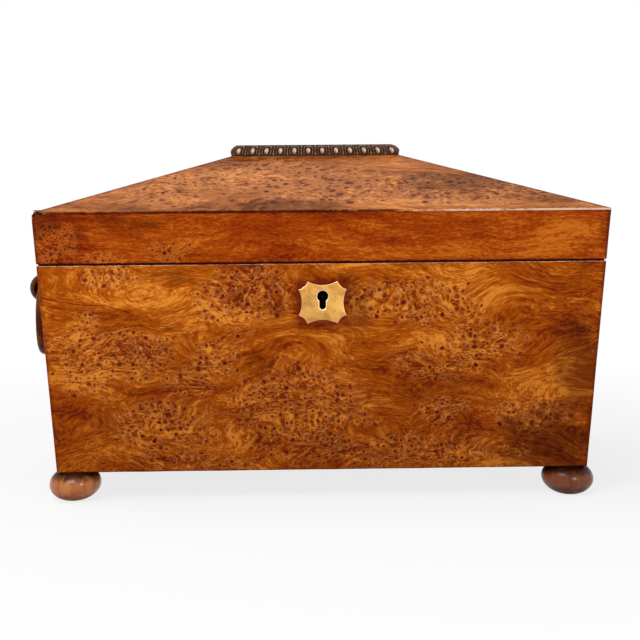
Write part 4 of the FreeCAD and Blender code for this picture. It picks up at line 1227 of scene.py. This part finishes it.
def lay_veneers(
        prefix, suffix, slope, layer, body, materials, mitre_wear, front, cuts=None, chips=(), lost=None):
    """Four veneers round the box. The front's figure and edges are given, cuts and lost corners by side."""
    sizes = bpy.context.scene.burl_veneers
    veneers = [Veneer(prefix + side + suffix, side, slope) for side in SIDES]
    for i, (side, veneer) in enumerate(zip(SIDES, veneers)):
        neighbours = (veneers[i - 1], veneers[(i + 1) % 4])
        broken = chips if side == "front" else ()
        mesh = veneer_mesh(veneer, neighbours, sizes, mitre_wear, broken, (lost or {}).get(side, ()))
        if side in (cuts or {}):
            mesh = cut_away(mesh, cuts[side])
        figure, edges = front
        if side != "front":
            chance = random.Random(100 * layer + i)
            span = (2 * veneer.half_foot, veneer.height)
            figure = [
                chance_patches(chance, *span, count, small, large)
                for count, small, large in (CHANCE_BURL, CHANCE_STAIN, CHANCE_GLOW)]
            edges = chance_edges(chance, span[0])
        mark_veneer(mesh, veneer, layer, figure, edges)
        name = veneer.node + "_sheet"
        place_piece(name, mesh, materials.get(side, materials["rest"]), body, "burl_veneer", veneer.node)


def upright_wear(corner, up):
    """Depth and reach of the worn corners of the walls at heights, the same on both sides of a corner."""
    sizes = bpy.context.scene.burl_veneers
    column = up[:, 0]
    uneven = 1 + 0.45 * wander(column, 11.0 + 5.0 * corner, waves=60.0)
    radius = (sizes.corner_round * uneven)[:, None]
    return radius * (1 - math.sqrt(0.5)), radius


def hip_wear(corner, up):
    """Depth and reach of the worn hips of the roof."""
    sizes = bpy.context.scene.burl_veneers
    share_up = (up - up.min()) / (up.max() - up.min())
    uneven = 1 + 0.4 * np.sin(share_up * 23 + 2 * corner)
    return sizes.hip_wear / 2 * uneven, HIP_REACH


def box_mesh(low, high):
    """A closed box between two corners."""
    points = [(x, y, z) for z in (low[2], high[2]) for x, y in (
        (low[0], low[1]), (high[0], low[1]), (high[0], high[1]), (low[0], high[1]))]
    return new_mesh("tool", points, [(3, 2, 1, 0), (4, 5, 6, 7)] + loop_faces(2, 4))


def leaf_pocket(leaf):
    """The room that a hinge leaf takes in a veneer, as a box."""
    low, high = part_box(leaf)
    spare = Vector((0, 10 * MM, 0))
    seam = Vector((0, 0, 4 * MM))
    if leaf.endswith("body_leaf"):
        return box_mesh(low - spare, high + spare + seam)
    return box_mesh(low - spare - seam, high + spare)


def stem_hole(side):
    """The hole for a handle's stem in a side veneer, as a rod."""
    low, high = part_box(side + "_handle_boss")
    middle = (low + high) / 2
    radius, reach = 4 * MM, 20 * MM
    points, faces = lathe([(0, -reach), (radius, -reach), (radius, reach), (0, reach)], 32)
    rod = new_mesh("tool", points, faces)
    rod.transform(Matrix.Translation(middle) @ Matrix.Rotation(math.pi / 2, 4, "Y"))
    return rod


# Escutcheon

def arc_points(first, middle, last, count):
    """Points on the circle through three points, without the last."""
    a, b, c = (complex(*point) for point in (first, middle, last))
    w = (c - a) / (b - a)
    centre = (b - a) * (w - abs(w) ** 2) / 2j / w.imag + a
    start, end = (a - centre), (c - centre)
    sweep = np.angle(end / start)
    through = np.angle((b - centre) / start)
    if sweep * through < 0 or abs(through) > abs(sweep):
        sweep -= math.copysign(2 * math.pi, sweep)
    turns = [centre + start * np.exp(1j * sweep * i / count) for i in range(count)]
    return [(point.real, point.imag) for point in turns]


def wall_lean():
    """How far the walls lean, from the front veneer of the frame."""
    veneer = Veneer("front_veneer", "front", 0)
    return math.asin(-veneer.up[1])


def plate_outline(brass):
    """The escutcheon's outline about its middle, anticlockwise, with hollow sides and notched corners."""
    low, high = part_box("escutcheon")
    half_width = (high.x - low.x) / 2
    half_height = (high.z - low.z) / 2 / math.cos(wall_lean())
    wide, tall = brass.notch_width, brass.notch_height
    notch_steps, side_steps = 8, 18
    points, tips = [], []
    for i, (x, y) in enumerate(CORNERS):
        pair = [(x * half_width, y * (half_height - tall)), (x * (half_width - wide), y * half_height)]
        tips.append(pair if i % 2 == 0 else pair[::-1])
    for i, (x, y) in enumerate(CORNERS):
        first, second = tips[i]
        span = math.hypot(wide, tall)
        hollow = ((first[0] + second[0]) / 2 - x * tall / span * brass.notch_bow,
                  (first[1] + second[1]) / 2 - y * wide / span * brass.notch_bow)
        points += arc_points(first, hollow, second, notch_steps)
        middle = (x * (half_width - brass.side_bow), 0)
        if i % 2 == 0:
            middle = (0, y * (half_height - brass.end_bow))
        points += arc_points(second, middle, tips[(i + 1) % 4][0], side_steps)
    return np.array(points)


def keyhole_outline(brass):
    """The keyhole's outline about the escutcheon's middle, anticlockwise."""
    head, half_slot = brass.keyhole / 2, brass.slot_width / 2
    start = -math.acos(half_slot / head)
    turns = np.linspace(start, math.pi - start, 40)
    round_head = np.stack([head * np.cos(turns), head * np.sin(turns)], -1)
    turns = np.linspace(math.pi, 2 * math.pi, 16)
    foot = half_slot - brass.slot_drop
    round_foot = np.stack([half_slot * np.cos(turns), foot + half_slot * np.sin(turns)], -1)
    return np.concatenate([round_head, round_foot]) + (0, brass.key_rise)


def offset_loop(loop, distance):
    """A loop moved out of itself by a distance, with its corners kept."""
    before, after = loop - np.roll(loop, 1, 0), np.roll(loop, -1, 0) - loop
    normals = []
    for edge in (before, after):
        normal = np.stack([edge[:, 1], -edge[:, 0]], -1)
        normals.append(normal / np.linalg.norm(normal, axis=1)[:, None])
    mean = normals[0] + normals[1]
    mean /= np.maximum((mean * normals[0]).sum(1), 0.35)[:, None]
    return loop + mean * distance


def plate_mesh(outline, hole, levels, hole_levels):
    """A plate with a hole: loops of (offset, height) up its edge and up its hole, joined across both faces.

    The loops between the first and the last are marked as rubbed bright.
    """
    shape = bmesh.new()
    rubbed = shape.verts.layers.float_vector.new("rubbed")
    ends = []
    for loop, steps, inward in ((outline, levels, False), (hole, hole_levels, True)):
        rings = []
        for offset, height in steps:
            moved = offset_loop(loop, offset)
            rings.append([shape.verts.new((x, y, height)) for x, y in moved])
        for lower, upper in zip(rings, rings[1:]):
            for i in range(len(loop)):
                j = (i + 1) % len(loop)
                corners = (lower[i], lower[j], upper[j], upper[i])
                shape.faces.new(corners[::-1] if inward else corners)
        for ring in rings[1:-1]:
            for vertex in ring:
                vertex[rubbed] = (1.0, 0.0, 0.0)
        ends.append((rings[0], rings[-1]))
    for which in (0, 1):
        edges = []
        for rings in ends:
            ring = rings[which]
            edges += [shape.edges.get((ring[i - 1], ring[i])) for i in range(len(ring))]
        bmesh.ops.triangle_fill(shape, use_beauty=True, edges=edges)
    bmesh.ops.recalc_face_normals(shape, faces=shape.faces)
    mesh = bpy.data.meshes.new("escutcheon")
    shape.to_mesh(mesh)
    shape.free()
    mesh.shade_smooth()
    mesh.set_sharp_from_angle(angle=CREASE)
    return mesh


def plate_matrix():
    """Where the escutcheon's middle lies in the front, its face outwards."""
    low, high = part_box("escutcheon")
    veneer = Veneer("front_veneer", "front", 0)
    middle_height = (low.z + high.z) / 2
    share_up = (middle_height - veneer.foot[2]) / (veneer.up[2] * veneer.height)
    middle = Vector(veneer.foot + veneer.up * veneer.height * share_up)
    axes = Matrix((veneer.right, veneer.up, veneer.out)).transposed()
    return Matrix.Translation(middle) @ axes.to_4x4()


def plate_recess():
    """The room that the escutcheon takes in the front veneer."""
    clearance, reach = 0.06 * MM, 4 * MM
    outline = offset_loop(plate_outline(bpy.context.scene.burl_brass), clearance)
    points = [(x, y, z) for z in (-reach, reach) for x, y in outline]
    count = len(outline)
    faces = loop_faces(2, count) + [tuple(range(count))[::-1], tuple(range(count, 2 * count))]
    tool = new_mesh("tool", points, faces)
    tool.transform(plate_matrix())
    return tool


# Carved cap

def cap_section(cap, height, steps):
    """The moulding's section from the tablet's foot: out, up, and how far round its curve, or -1 off it."""
    width = cap.width - (cap.egg_relief - cap.ground_depth)
    across, up = width - cap.flat, height - cap.fillet
    edge = 0.2 * MM
    rows = [(0.0, 0.0, -1), (width - edge, 0.0, -1), (width, edge, -1), (width, cap.fillet * 0.85, -1)]
    for i in range(steps + 1):
        turned = i / steps
        angle = turned * math.pi / 2
        full = math.cos(angle) ** 0.75, math.sin(angle) ** 0.85
        rows.append((cap.flat + across * full[0], cap.fillet + up * full[1], turned))
    groove = 0.15 * MM
    rows += [(groove, height, -1), (0.0, height - groove, -1)]
    return rows


def carving(cap, aside, along):
    """Height of the carving beside an egg's middle and up from it, and how strongly the painted glint shows
    there.
    """
    along = along / (cap.egg_length / 2)
    reach = math.hypot(aside / (cap.egg_width / 2), along)
    egg = math.sqrt(max(0.0, 1 - reach ** 2)) * cap.egg_relief
    # The painted glint, a little below and beside the egg's middle
    bare = math.exp(-((aside - 0.35 * MM) / (0.55 * MM)) ** 2 - (along + 0.22) ** 2 * 2.2)
    # A shell goes round the egg and is open below, and a dart stands half way to the next
    arch = (abs(aside / (cap.egg_width / 2)) ** 3 + abs(along) ** 3) ** (1 / 3)
    shell = 0.66 * cap.egg_relief * math.exp(-((arch - 1.62) / 0.22) ** 2) * min(1.0, max(0.0, along + 1.5))
    dart = 0.62 * cap.egg_relief * math.exp(-((abs(aside) - cap.pitch / 2) / (0.42 * MM)) ** 2)
    return max(egg, shell, dart) - cap.ground_depth, bare


def cap_mesh(cap):
    """The carved moulding, closed, with a dart on each corner."""
    low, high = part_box("cap_moulding")
    height = high.z - low.z
    inner = np.array(((high.x - low.x) / 2 - cap.width, (high.y - low.y) / 2 - cap.width))
    curve_width, curve_height = cap.width - cap.flat, height - cap.fillet
    curve = 1.11 * math.hypot(curve_width, curve_height)  # About the length of a quarter of an oval
    egg_out = cap.flat + curve_width * math.sqrt(0.5) - 0.8 * MM  # Where the eggs are spaced out
    steps = 22  # Up the curve, and from egg to egg
    section = cap_section(cap, height, steps)
    points, marks = [], []
    for side in range(4):
        half_run, half_depth = inner if side % 2 == 0 else inner[::-1]
        end = half_run + egg_out
        gaps = max(1, round(2 * end / cap.pitch))
        gap = 2 * end / gaps
        shares = np.linspace(-1, 1, gaps * steps, endpoint=False)
        heading = math.radians(90 * side)
        right = np.array((math.cos(heading), math.sin(heading)))
        out = np.array((math.sin(heading), -math.cos(heading)))
        for share_along in shares:
            along = share_along * end
            nearest = (math.floor((along + end) / (2 * end) * gaps) + 0.5) * gap - end
            aside = (along - nearest) * cap.pitch / gap
            to_corner = end - abs(along)
            bend = max(0.0, 1 - to_corner / (cap.pitch / 2))
            rounding = cap.corner_round * 0.5 * max(0.0, 1 - to_corner / cap.corner_round) ** 2
            diagonal = out + right * math.copysign(1, share_along)
            facing = out + right * math.copysign(bend, share_along)
            facing = facing / np.linalg.norm(facing)
            for reach, rise, turned in section:
                base = right * share_along * (half_run + reach) + out * (half_depth + reach)
                lift, raised, painted_glint = 0.0, 0.0, 0.0
                if turned >= 0:
                    fade = min(1.0, 7 * turned, 7 * (1 - turned))
                    raised, painted_glint = carving(cap, aside, (turned - cap.egg_place) * curve)
                    raised *= 1 - 0.7 * bend
                    lift = raised * fade
                    angle = turned * math.pi / 2
                    slope = np.array((math.cos(angle) / curve_width, math.sin(angle) / curve_height))
                    slope = slope / np.linalg.norm(slope)
                    base = base + facing * slope[0] * lift
                    rise = rise + slope[1] * lift
                if reach > cap.flat / 2:
                    base = base - diagonal * rounding * min(1.0, reach / cap.width)
                points.append((base[0], base[1], low.z + min(rise, height)))
                hollow, raised_share = 0.8, 0.1
                if turned >= 0:
                    raised_share = (raised + cap.ground_depth) / cap.egg_relief
                    hollow = 1 - raised_share
                marks.append((hollow, raised_share, painted_glint))
    count = len(section)
    mesh = new_mesh("carved_moulding", points, loop_faces(len(points) // count, count, True))
    keep(mesh, "carving", marks)
    return mesh


# Turnings

def foot_mesh(node, turned, seed):
    """A bun foot with its spigot, fine tool marks and a few knocks, settled outwards and worn level below."""
    low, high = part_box(node)
    widest = (high.x - low.x) / 2
    neck = math.sqrt(1 - (turned.neck / 2 / widest) ** 2)
    sole = math.sqrt(1 - (turned.sole / 2 / widest) ** 2)
    half_height = turned.body_height / (neck + sole)
    spigot = turned.spigot / 2
    around, steps = 96, 72
    profile = [(0, 0)]
    for angle in np.linspace(-math.asin(sole), math.acos(1.2 * spigot / widest), steps):
        profile.append((widest * math.cos(angle), half_height * (sole + math.sin(angle))))
    shoulder = profile[-1][1]
    profile += [(spigot, shoulder), (spigot, high.z - low.z), (0, high.z - low.z)]
    points, faces = lathe(profile, around)
    radius = np.hypot(points[:, 0], points[:, 1])
    belly = np.clip((radius - 1.02 * spigot) / (widest - spigot), 0, 1) * (points[:, 2] < shoulder)
    mark_waves, knock_waves = 9000, 160  # Radians and waves per metre
    marks = np.sin(points[:, 2] * mark_waves + seed) * turned.tool_mark
    knocks = [noise.noise(Vector(point) * knock_waves + Vector((seed * 9, 0, 0))) - 0.6 for point in points]
    shrink = belly * (np.minimum(np.array(knocks), 0) * turned.dent + marks - turned.tool_mark)
    points[:, :2] *= (1 + shrink / np.maximum(radius, MM))[:, None]
    middle = (low + high) / 2
    bun = radius > 1.1 * spigot
    splay = math.copysign(turned.splay, middle.x)
    rise = points[:, 2] - half_height * sole
    points[bun, 0], points[bun, 2] = (
        points[bun, 0] * math.cos(splay) + rise[bun] * math.sin(splay),
        half_height * sole + rise[bun] * math.cos(splay) - points[bun, 0] * math.sin(splay))
    points[:, 2] = np.maximum(points[:, 2], 0)
    return new_mesh(node, points + np.array((middle.x, middle.y, low.z)), faces)


def ring_mesh(node, turned, seed):
    """A turned ring in the plane of its node, with fine lines round its outside."""
    low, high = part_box(node)
    middle = (low + high) / 2
    thick = (high.x - low.x) / 2
    middle_radius = (high.y - low.y) / 2 - thick
    around, about, fine_lines = 120, 48, 26
    points = []
    for i in range(around):
        turn_round = 2 * math.pi * i / around
        for j in range(about):
            angle = 2 * math.pi * j / about
            knock = noise.noise(Vector((
                4 * math.cos(turn_round), 4 * math.sin(turn_round), 2 * math.cos(angle) + seed)))
            lines = turned.tool_mark * (1 + math.sin(fine_lines * angle))
            section = thick - lines - turned.dent * max(0.0, knock)
            reach = middle_radius + section * math.cos(angle)
            points.append((
                middle.x + section * math.sin(angle),
                middle.y + reach * math.cos(turn_round),
                middle.z + reach * math.sin(turn_round)))
    return new_mesh(node, points, loop_faces(around, about, True))


# Pads

def pad_mesh(node, inside, face):
    """A thin pad in its node's place that shows its top, face 1, or its underside, face -1.

    It is flat where it rests and crowned where it shows, with pressed hollows and sides drawn in.
    """
    low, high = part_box(node)
    middle, half = (low + high) / 2, (high - low) / 2
    step = 4 * MM
    waves = 28  # Of the hollows, per metre
    edge = 0.35  # Share of the thickness that is left at the edge
    across, along = np.meshgrid(
        face * (2 * spaced(2 * half.x, step) - 1), 2 * spaced(2 * half.y, step) - 1)
    x = middle.x + across * (half.x - inside.pad_pull * (1 - along ** 2))
    y = middle.y + along * (half.y - inside.pad_pull * (1 - across ** 2))
    inward = np.minimum(half.x * (1 - abs(across)), half.y * (1 - abs(along)))
    rounded = np.sqrt(1 - (1 - np.clip(inward / inside.pad_round, 0, 1)) ** 2)
    crown = (1 - across ** 4) * (1 - along ** 4)
    pressed = np.array([
        0.5 + 0.5 * noise.noise(Vector((a * waves, b * waves, 3.0 * face)))
        for a, b in zip(x.ravel(), y.ravel())])
    thick = 2 * half.z - inside.pad_crown * (1 - crown) - inside.pad_dimple * crown * pressed.reshape(x.shape)
    rest = middle.z - face * half.z
    shown = np.stack([x, y, rest + face * thick * (edge + (1 - edge) * rounded)], -1)
    return closed_sheet(node, shown, np.stack([x, y, np.full_like(x, rest)], -1))


# Stage

def seen_directly(graph):
    """1 for what the camera, a gloss or clear glass sees, and 0 for what only lights the box."""
    path = graph.add("ShaderNodeLightPath").outputs
    return graph.most(path["Is Camera Ray"], graph.most(path["Is Glossy Ray"], path["Is Transmission Ray"]))


def lay_floor(stage):
    """A wide level floor of pale paper that keeps the box's shadow."""
    corners = [(x * FLOOR_HALF, y * FLOOR_HALF, 0) for x, y in CORNERS]
    mesh = new_mesh("floor", corners, [(0, 1, 2, 3)])
    floor = add_object("floor", mesh)
    material = bpy.data.materials.new("floor paper")
    material.use_nodes = True
    tree = material.node_tree
    tree.nodes.clear()
    graph = Graph(tree)
    paper = graph.add("ShaderNodeBsdfDiffuse", {"Color": plain(stage.floor_colour)})
    glow = graph.add("ShaderNodeEmission", {"Color": (1, 1, 1, 1), "Strength": 1.0})
    ground = graph.object_place()
    away = graph.add("ShaderNodeVectorMath", {0: ground}, operation="LENGTH").outputs["Value"]
    amount = graph.times(seen_directly(graph), graph.ease(away, GLOW_NEAR, GLOW_FAR, stage.floor_glow, 1.0))
    mixed = graph.add("ShaderNodeMixShader", {0: amount, 1: paper.outputs[0], 2: glow.outputs[0]})
    graph.add("ShaderNodeOutputMaterial", {"Surface": mixed.outputs[0]})
    mesh.materials.append(material)


def light_world(scene, stage):
    """White all round for what sees it directly, and softer light on the box."""
    world = bpy.data.worlds.new("studio")
    world.use_nodes = True
    scene.world = world
    graph = Graph(world.node_tree)
    sky = world.node_tree.nodes["Background"]
    sky.inputs["Color"].default_value = (1, 1, 1, 1)
    strength = graph.sum(graph.times(seen_directly(graph), 1.0 - stage.ambient), stage.ambient)
    graph.put(sky.inputs["Strength"], strength)


def hang_lamp(name, watts, size, place):
    """A square soft lamp, aimed at the box."""
    lamp = bpy.data.lights.new(name, "AREA")
    lamp.energy = watts
    lamp.shape = "SQUARE"
    lamp.size = size
    holder = add_object(name, lamp)
    holder.location = place
    holder.rotation_euler = (LAMP_AIM - place).to_track_quat("-Z", "Y").to_euler()


def set_camera(scene, stage):
    """The camera at the picture's place, turned, tilted and rolled."""
    yaw, pitch, roll = stage.camera_yaw, stage.camera_pitch, stage.camera_roll
    ahead = Vector((
        math.sin(yaw) * math.cos(pitch), math.cos(yaw) * math.cos(pitch), -math.sin(pitch)))
    level = Vector((math.cos(yaw), -math.sin(yaw), 0))
    upward = level.cross(ahead)
    right = level * math.cos(roll) + upward * math.sin(roll)
    top = upward * math.cos(roll) - level * math.sin(roll)
    data = bpy.data.cameras.new("camera")
    data.lens = stage.camera_lens
    data.sensor_width = 36.0
    data.shift_x, data.shift_y = stage.camera_shift
    camera = add_object("camera", data)
    axes = Matrix((right, top, -ahead)).transposed().to_4x4()
    camera.matrix_world = Matrix.Translation(stage.camera_place) @ axes
    scene.camera = camera


# Operators

class BURL_BOX_OT_effects(Operator):
    """Make the node groups that the finishes share"""

    bl_idname = "burl_box.effects"
    bl_label = "Shared effects"

    def execute(self, context):
        make_burl_figure()
        make_straight_grain()
        make_edge_wear()
        make_handling()
        make_tarnish()
        make_fibres()
        return {"FINISHED"}


class BURL_BOX_OT_body_veneers(Operator):
    """Lay the burl veneers on the four walls of the body"""

    bl_idname = "burl_box.body_veneers"
    bl_label = "Body veneers"

    def execute(self, context):
        tints = context.scene.burl_body
        materials = {
            "front": body_veneer("front veneer", tints, lined=True),
            "rest": body_veneer("body veneer", tints)}
        cuts = {
            "front": [plate_recess()],
            "back": [leaf_pocket("left_hinge_body_leaf"), leaf_pocket("right_hinge_body_leaf")],
            "left": [stem_hole("left")],
            "right": [stem_hole("right")]}
        front = ((FRONT_BURL, FRONT_STAIN_AND_SHADE, FRONT_GLOW), BODY_EDGES)
        lay_veneers(
            "", "_veneer", slope=0.0, layer=0, body="case", materials=materials, mitre_wear=upright_wear,
            front=front, cuts=cuts)
        return {"FINISHED"}


class BURL_BOX_OT_rim_veneers(Operator):
    """Lay the veneers on the four sides of the lid's rim"""

    bl_idname = "burl_box.rim_veneers"
    bl_label = "Rim veneers"

    def execute(self, context):
        cuts = {"back": [leaf_pocket("left_hinge_lid_leaf"), leaf_pocket("right_hinge_lid_leaf")]}
        materials = {"rest": rim_veneer(context.scene.burl_rim)}
        front = ((RIM_BURL, RIM_STAIN_AND_SHADE, RIM_GLOW), RIM_EDGES)
        bite = context.scene.burl_veneers.lost_rim
        lay_veneers(
            "lid_", "_rim_veneer", slope=0.0, layer=1, body="lid", materials=materials,
            mitre_wear=upright_wear, front=front, cuts=cuts,
            lost={"front": [(UPPER_LEFT, bite)], "left": [(UPPER_RIGHT, bite)]})
        return {"FINISHED"}


class BURL_BOX_OT_roof_veneers(Operator):
    """Lay the faded veneers on the four slopes of the roof"""

    bl_idname = "burl_box.roof_veneers"
    bl_label = "Roof veneers"

    def execute(self, context):
        materials = {"rest": roof_veneer(context.scene.burl_roof)}
        front = ((ROOF_BURL, ROOF_STAIN, ROOF_GLOW), ROOF_EDGES)
        bite = context.scene.burl_veneers.lost_corner
        lay_veneers(
            "roof_", "_veneer", slope=ROOF_SLOPE, layer=2, body="lid", materials=materials,
            mitre_wear=hip_wear, front=front, chips=EAVE_CHIPS,
            lost={"front": [(LOWER_LEFT, bite)], "left": [(LOWER_RIGHT, bite)]})
        return {"FINISHED"}


class BURL_BOX_OT_cap(Operator):
    """Carve the egg-and-dart moulding round the cap, and finish its tablet"""

    bl_idname = "burl_box.cap"
    bl_label = "Carved cap"

    def execute(self, context):
        cap = context.scene.burl_cap
        mesh = cap_mesh(cap)
        place_piece("carved_moulding", mesh, carved_wood(cap), "lid", "carved_wood", "cap_moulding")
        dress("cap_tablet", tablet_wood(context.scene.burl_roof, cap))
        soften("cap_tablet", millimetres=0.25)
        return {"FINISHED"}


class BURL_BOX_OT_feet(Operator):
    """Turn the four bun feet"""

    bl_idname = "burl_box.feet"
    bl_label = "Bun feet"

    def execute(self, context):
        turned = context.scene.burl_turned
        material = turned_wood(
            "foot wood", turned.light, turned.dark, turned.dirt_and_shade, turned.polish, turned.shade_height)
        for i, name in enumerate(FEET):
            node = name + "_foot"
            mesh = foot_mesh(node, turned, i)
            place_piece(name + "_bun", mesh, material, "case", "turned_wood", node)
        return {"FINISHED"}


class BURL_BOX_OT_handles(Operator):
    """Turn the two rings and finish their bosses"""

    bl_idname = "burl_box.handles"
    bl_label = "Ring handles"

    def execute(self, context):
        turned = context.scene.burl_turned
        material = turned_wood(
            "handle wood", turned.handle_light, turned.handle_dark, turned.dirt_and_shade, turned.handle_polish)
        for i, side in enumerate(("left", "right")):
            node = side + "_handle_ring"
            ring = ring_mesh(node, turned, i)
            place_piece(side + "_ring", ring, material, side + "_ring", "turned_wood", node)
            dress(side + "_handle_boss", material)
            soften(side + "_handle_boss", millimetres=0.3)
        return {"FINISHED"}


class BURL_BOX_OT_escutcheon(Operator):
    """Make the brass escutcheon with its bevelled keyhole"""

    bl_idname = "burl_box.escutcheon"
    bl_label = "Escutcheon"

    def execute(self, context):
        brass = context.scene.burl_brass
        thick = brass.thickness
        edge = brass.edge_round
        levels = [(0, -thick), (0, -edge)]
        for angle in (30, 60, 90):
            turned = math.radians(angle)
            levels.append((-edge * (1 - math.cos(turned)), edge * (math.sin(turned) - 1)))
        bevel = brass.key_bevel
        hole_levels = [
            (0, -thick), (0, -bevel), (bevel * 0.5, -bevel * 0.35), (bevel, 0), (bevel + 0.12 * MM, 0)]
        mesh = plate_mesh(plate_outline(brass), keyhole_outline(brass), levels, hole_levels)
        mesh.transform(plate_matrix())
        metal = old_metal("plate brass", brass.bright, brass.dull, edges=brass.edge)
        place_piece("brass_escutcheon", mesh, metal, "case", "brass", "escutcheon")
        return {"FINISHED"}


class BURL_BOX_OT_fittings(Operator):
    """Finish the lock, the hinges and their screws"""

    bl_idname = "burl_box.fittings"
    bl_label = "Lock and hinges"

    def execute(self, context):
        brass = context.scene.burl_brass
        tones = {"brass": (brass.bright, brass.dull), "steel": (brass.steel_bright, brass.steel_dull)}
        metals = {slot: old_metal(slot, *pair) for slot, pair in tones.items()}
        # The lock's finishes carry the painted shade behind the keyhole
        keyhole_shaded = {slot: old_metal("lock " + slot, *pair, keyhole=True) for slot, pair in tones.items()}
        for node, slot in node_slots().items():
            if slot in metals and node != "escutcheon":
                in_lock = node.startswith("lock") or node == "drill_pin"
                dress(node, keyhole_shaded[slot] if in_lock else metals[slot])
                soften(node, millimetres=0.12)
        return {"FINISHED"}


class BURL_BOX_OT_boards(Operator):
    """Finish the boards under the veneers"""

    bl_idname = "burl_box.boards"
    bl_label = "Boards"

    def execute(self, context):
        inside = context.scene.burl_inside
        long_grain = board_wood("long board", inside, lengthwise=True)
        front = board_wood("front board", inside, lengthwise=True, keyhole=True)
        short_grain = board_wood("short board", inside, lengthwise=False)
        for node, slot in node_slots().items():
            if slot == "carcass_wood":
                sideways = "left" in node or "right" in node
                plank = short_grain if sideways else long_grain
                dress(node, front if node == "front_board" else plank)
                soften(node, millimetres=0.3)
        return {"FINISHED"}


class BURL_BOX_OT_linings(Operator):
    """Finish the paper linings, and stuff the velvet pads of the floor and the lid"""

    bl_idname = "burl_box.linings"
    bl_label = "Linings"

    def execute(self, context):
        inside = context.scene.burl_inside
        paper = lining_finish(
            "lining paper", inside.paper, inside.paper_faded, roughness=0.72, millimetres=0.05)
        velvet = lining_finish(
            "velvet", inside.velvet, inside.velvet_crushed, roughness=0.85, millimetres=0.15,
            Sheen_Weight=0.5, Sheen_Roughness=0.4)
        for node, slot in node_slots().items():
            if slot == "lining_paper":
                dress(node, paper)
                soften(node, millimetres=0.25)
        floor = pad_mesh("floor_pad", inside, 1)
        lid = pad_mesh("lid_panel", inside, -1)
        place_piece("floor_velvet", floor, velvet, "case", "lining_cloth", "floor_pad")
        place_piece("lid_velvet", lid, velvet, "lid", "lining_cloth", "lid_panel")
        return {"FINISHED"}


class BURL_BOX_OT_stage(Operator):
    """Set up the floor, the lamps and the camera"""

    bl_idname = "burl_box.stage"
    bl_label = "Stage"

    def execute(self, context):
        stage = context.scene.burl_stage
        lay_floor(stage)
        light_world(context.scene, stage)
        for name, (power_setting, size, place) in LAMPS.items():
            hang_lamp(name, getattr(stage, power_setting), size, Vector(place))
        set_camera(context.scene, stage)
        context.scene.view_settings.view_transform = "Standard"
        return {"FINISHED"}


class BURL_BOX_PT_panel(Panel):
    """The box's pieces and settings in the sidebar"""

    bl_idname = "BURL_BOX_PT_panel"
    bl_label = "Burl Box"
    bl_space_type = "VIEW_3D"
    bl_region_type = "UI"
    bl_category = "Burl Box"

    def draw(self, context):
        for operator in OPERATORS:
            self.layout.operator(operator.bl_idname)
        for name, group in SETTINGS.items():
            box = self.layout.box()
            box.label(text=group.__doc__)
            for key in group.__annotations__:
                box.prop(getattr(context.scene, name), key)


SETTINGS = {
    "burl_veneers": VeneerSettings,
    "burl_body": BodyVeneerColours,
    "burl_rim": RimVeneerColours,
    "burl_roof": RoofVeneerColours,
    "burl_cap": CapSettings,
    "burl_turned": TurnedSettings,
    "burl_brass": BrassSettings,
    "burl_inside": InsideSettings,
    "burl_stage": StageSettings,
}
OPERATORS = (
    BURL_BOX_OT_effects,
    BURL_BOX_OT_body_veneers,
    BURL_BOX_OT_rim_veneers,
    BURL_BOX_OT_roof_veneers,
    BURL_BOX_OT_cap,
    BURL_BOX_OT_feet,
    BURL_BOX_OT_handles,
    BURL_BOX_OT_escutcheon,
    BURL_BOX_OT_fittings,
    BURL_BOX_OT_boards,
    BURL_BOX_OT_linings,
    BURL_BOX_OT_stage,
)


def register():
    """Registers the settings, the operators and the panel."""
    for name, group in SETTINGS.items():
        bpy.utils.register_class(group)
        setattr(bpy.types.Scene, name, PointerProperty(type=group))
    for kind in OPERATORS + (BURL_BOX_PT_panel,):
        bpy.utils.register_class(kind)


def unregister():
    """Takes them all out again."""
    for kind in (BURL_BOX_PT_panel,) + OPERATORS[::-1]:
        bpy.utils.unregister_class(kind)
    for name, group in SETTINGS.items():
        delattr(bpy.types.Scene, name)
        bpy.utils.unregister_class(group)


def main():
    """Makes every piece in order."""
    register()
    for operator in OPERATORS:
        category, name = operator.bl_idname.split(".")
        getattr(getattr(bpy.ops, category), name)()


if __name__ == "__main__":
    main()
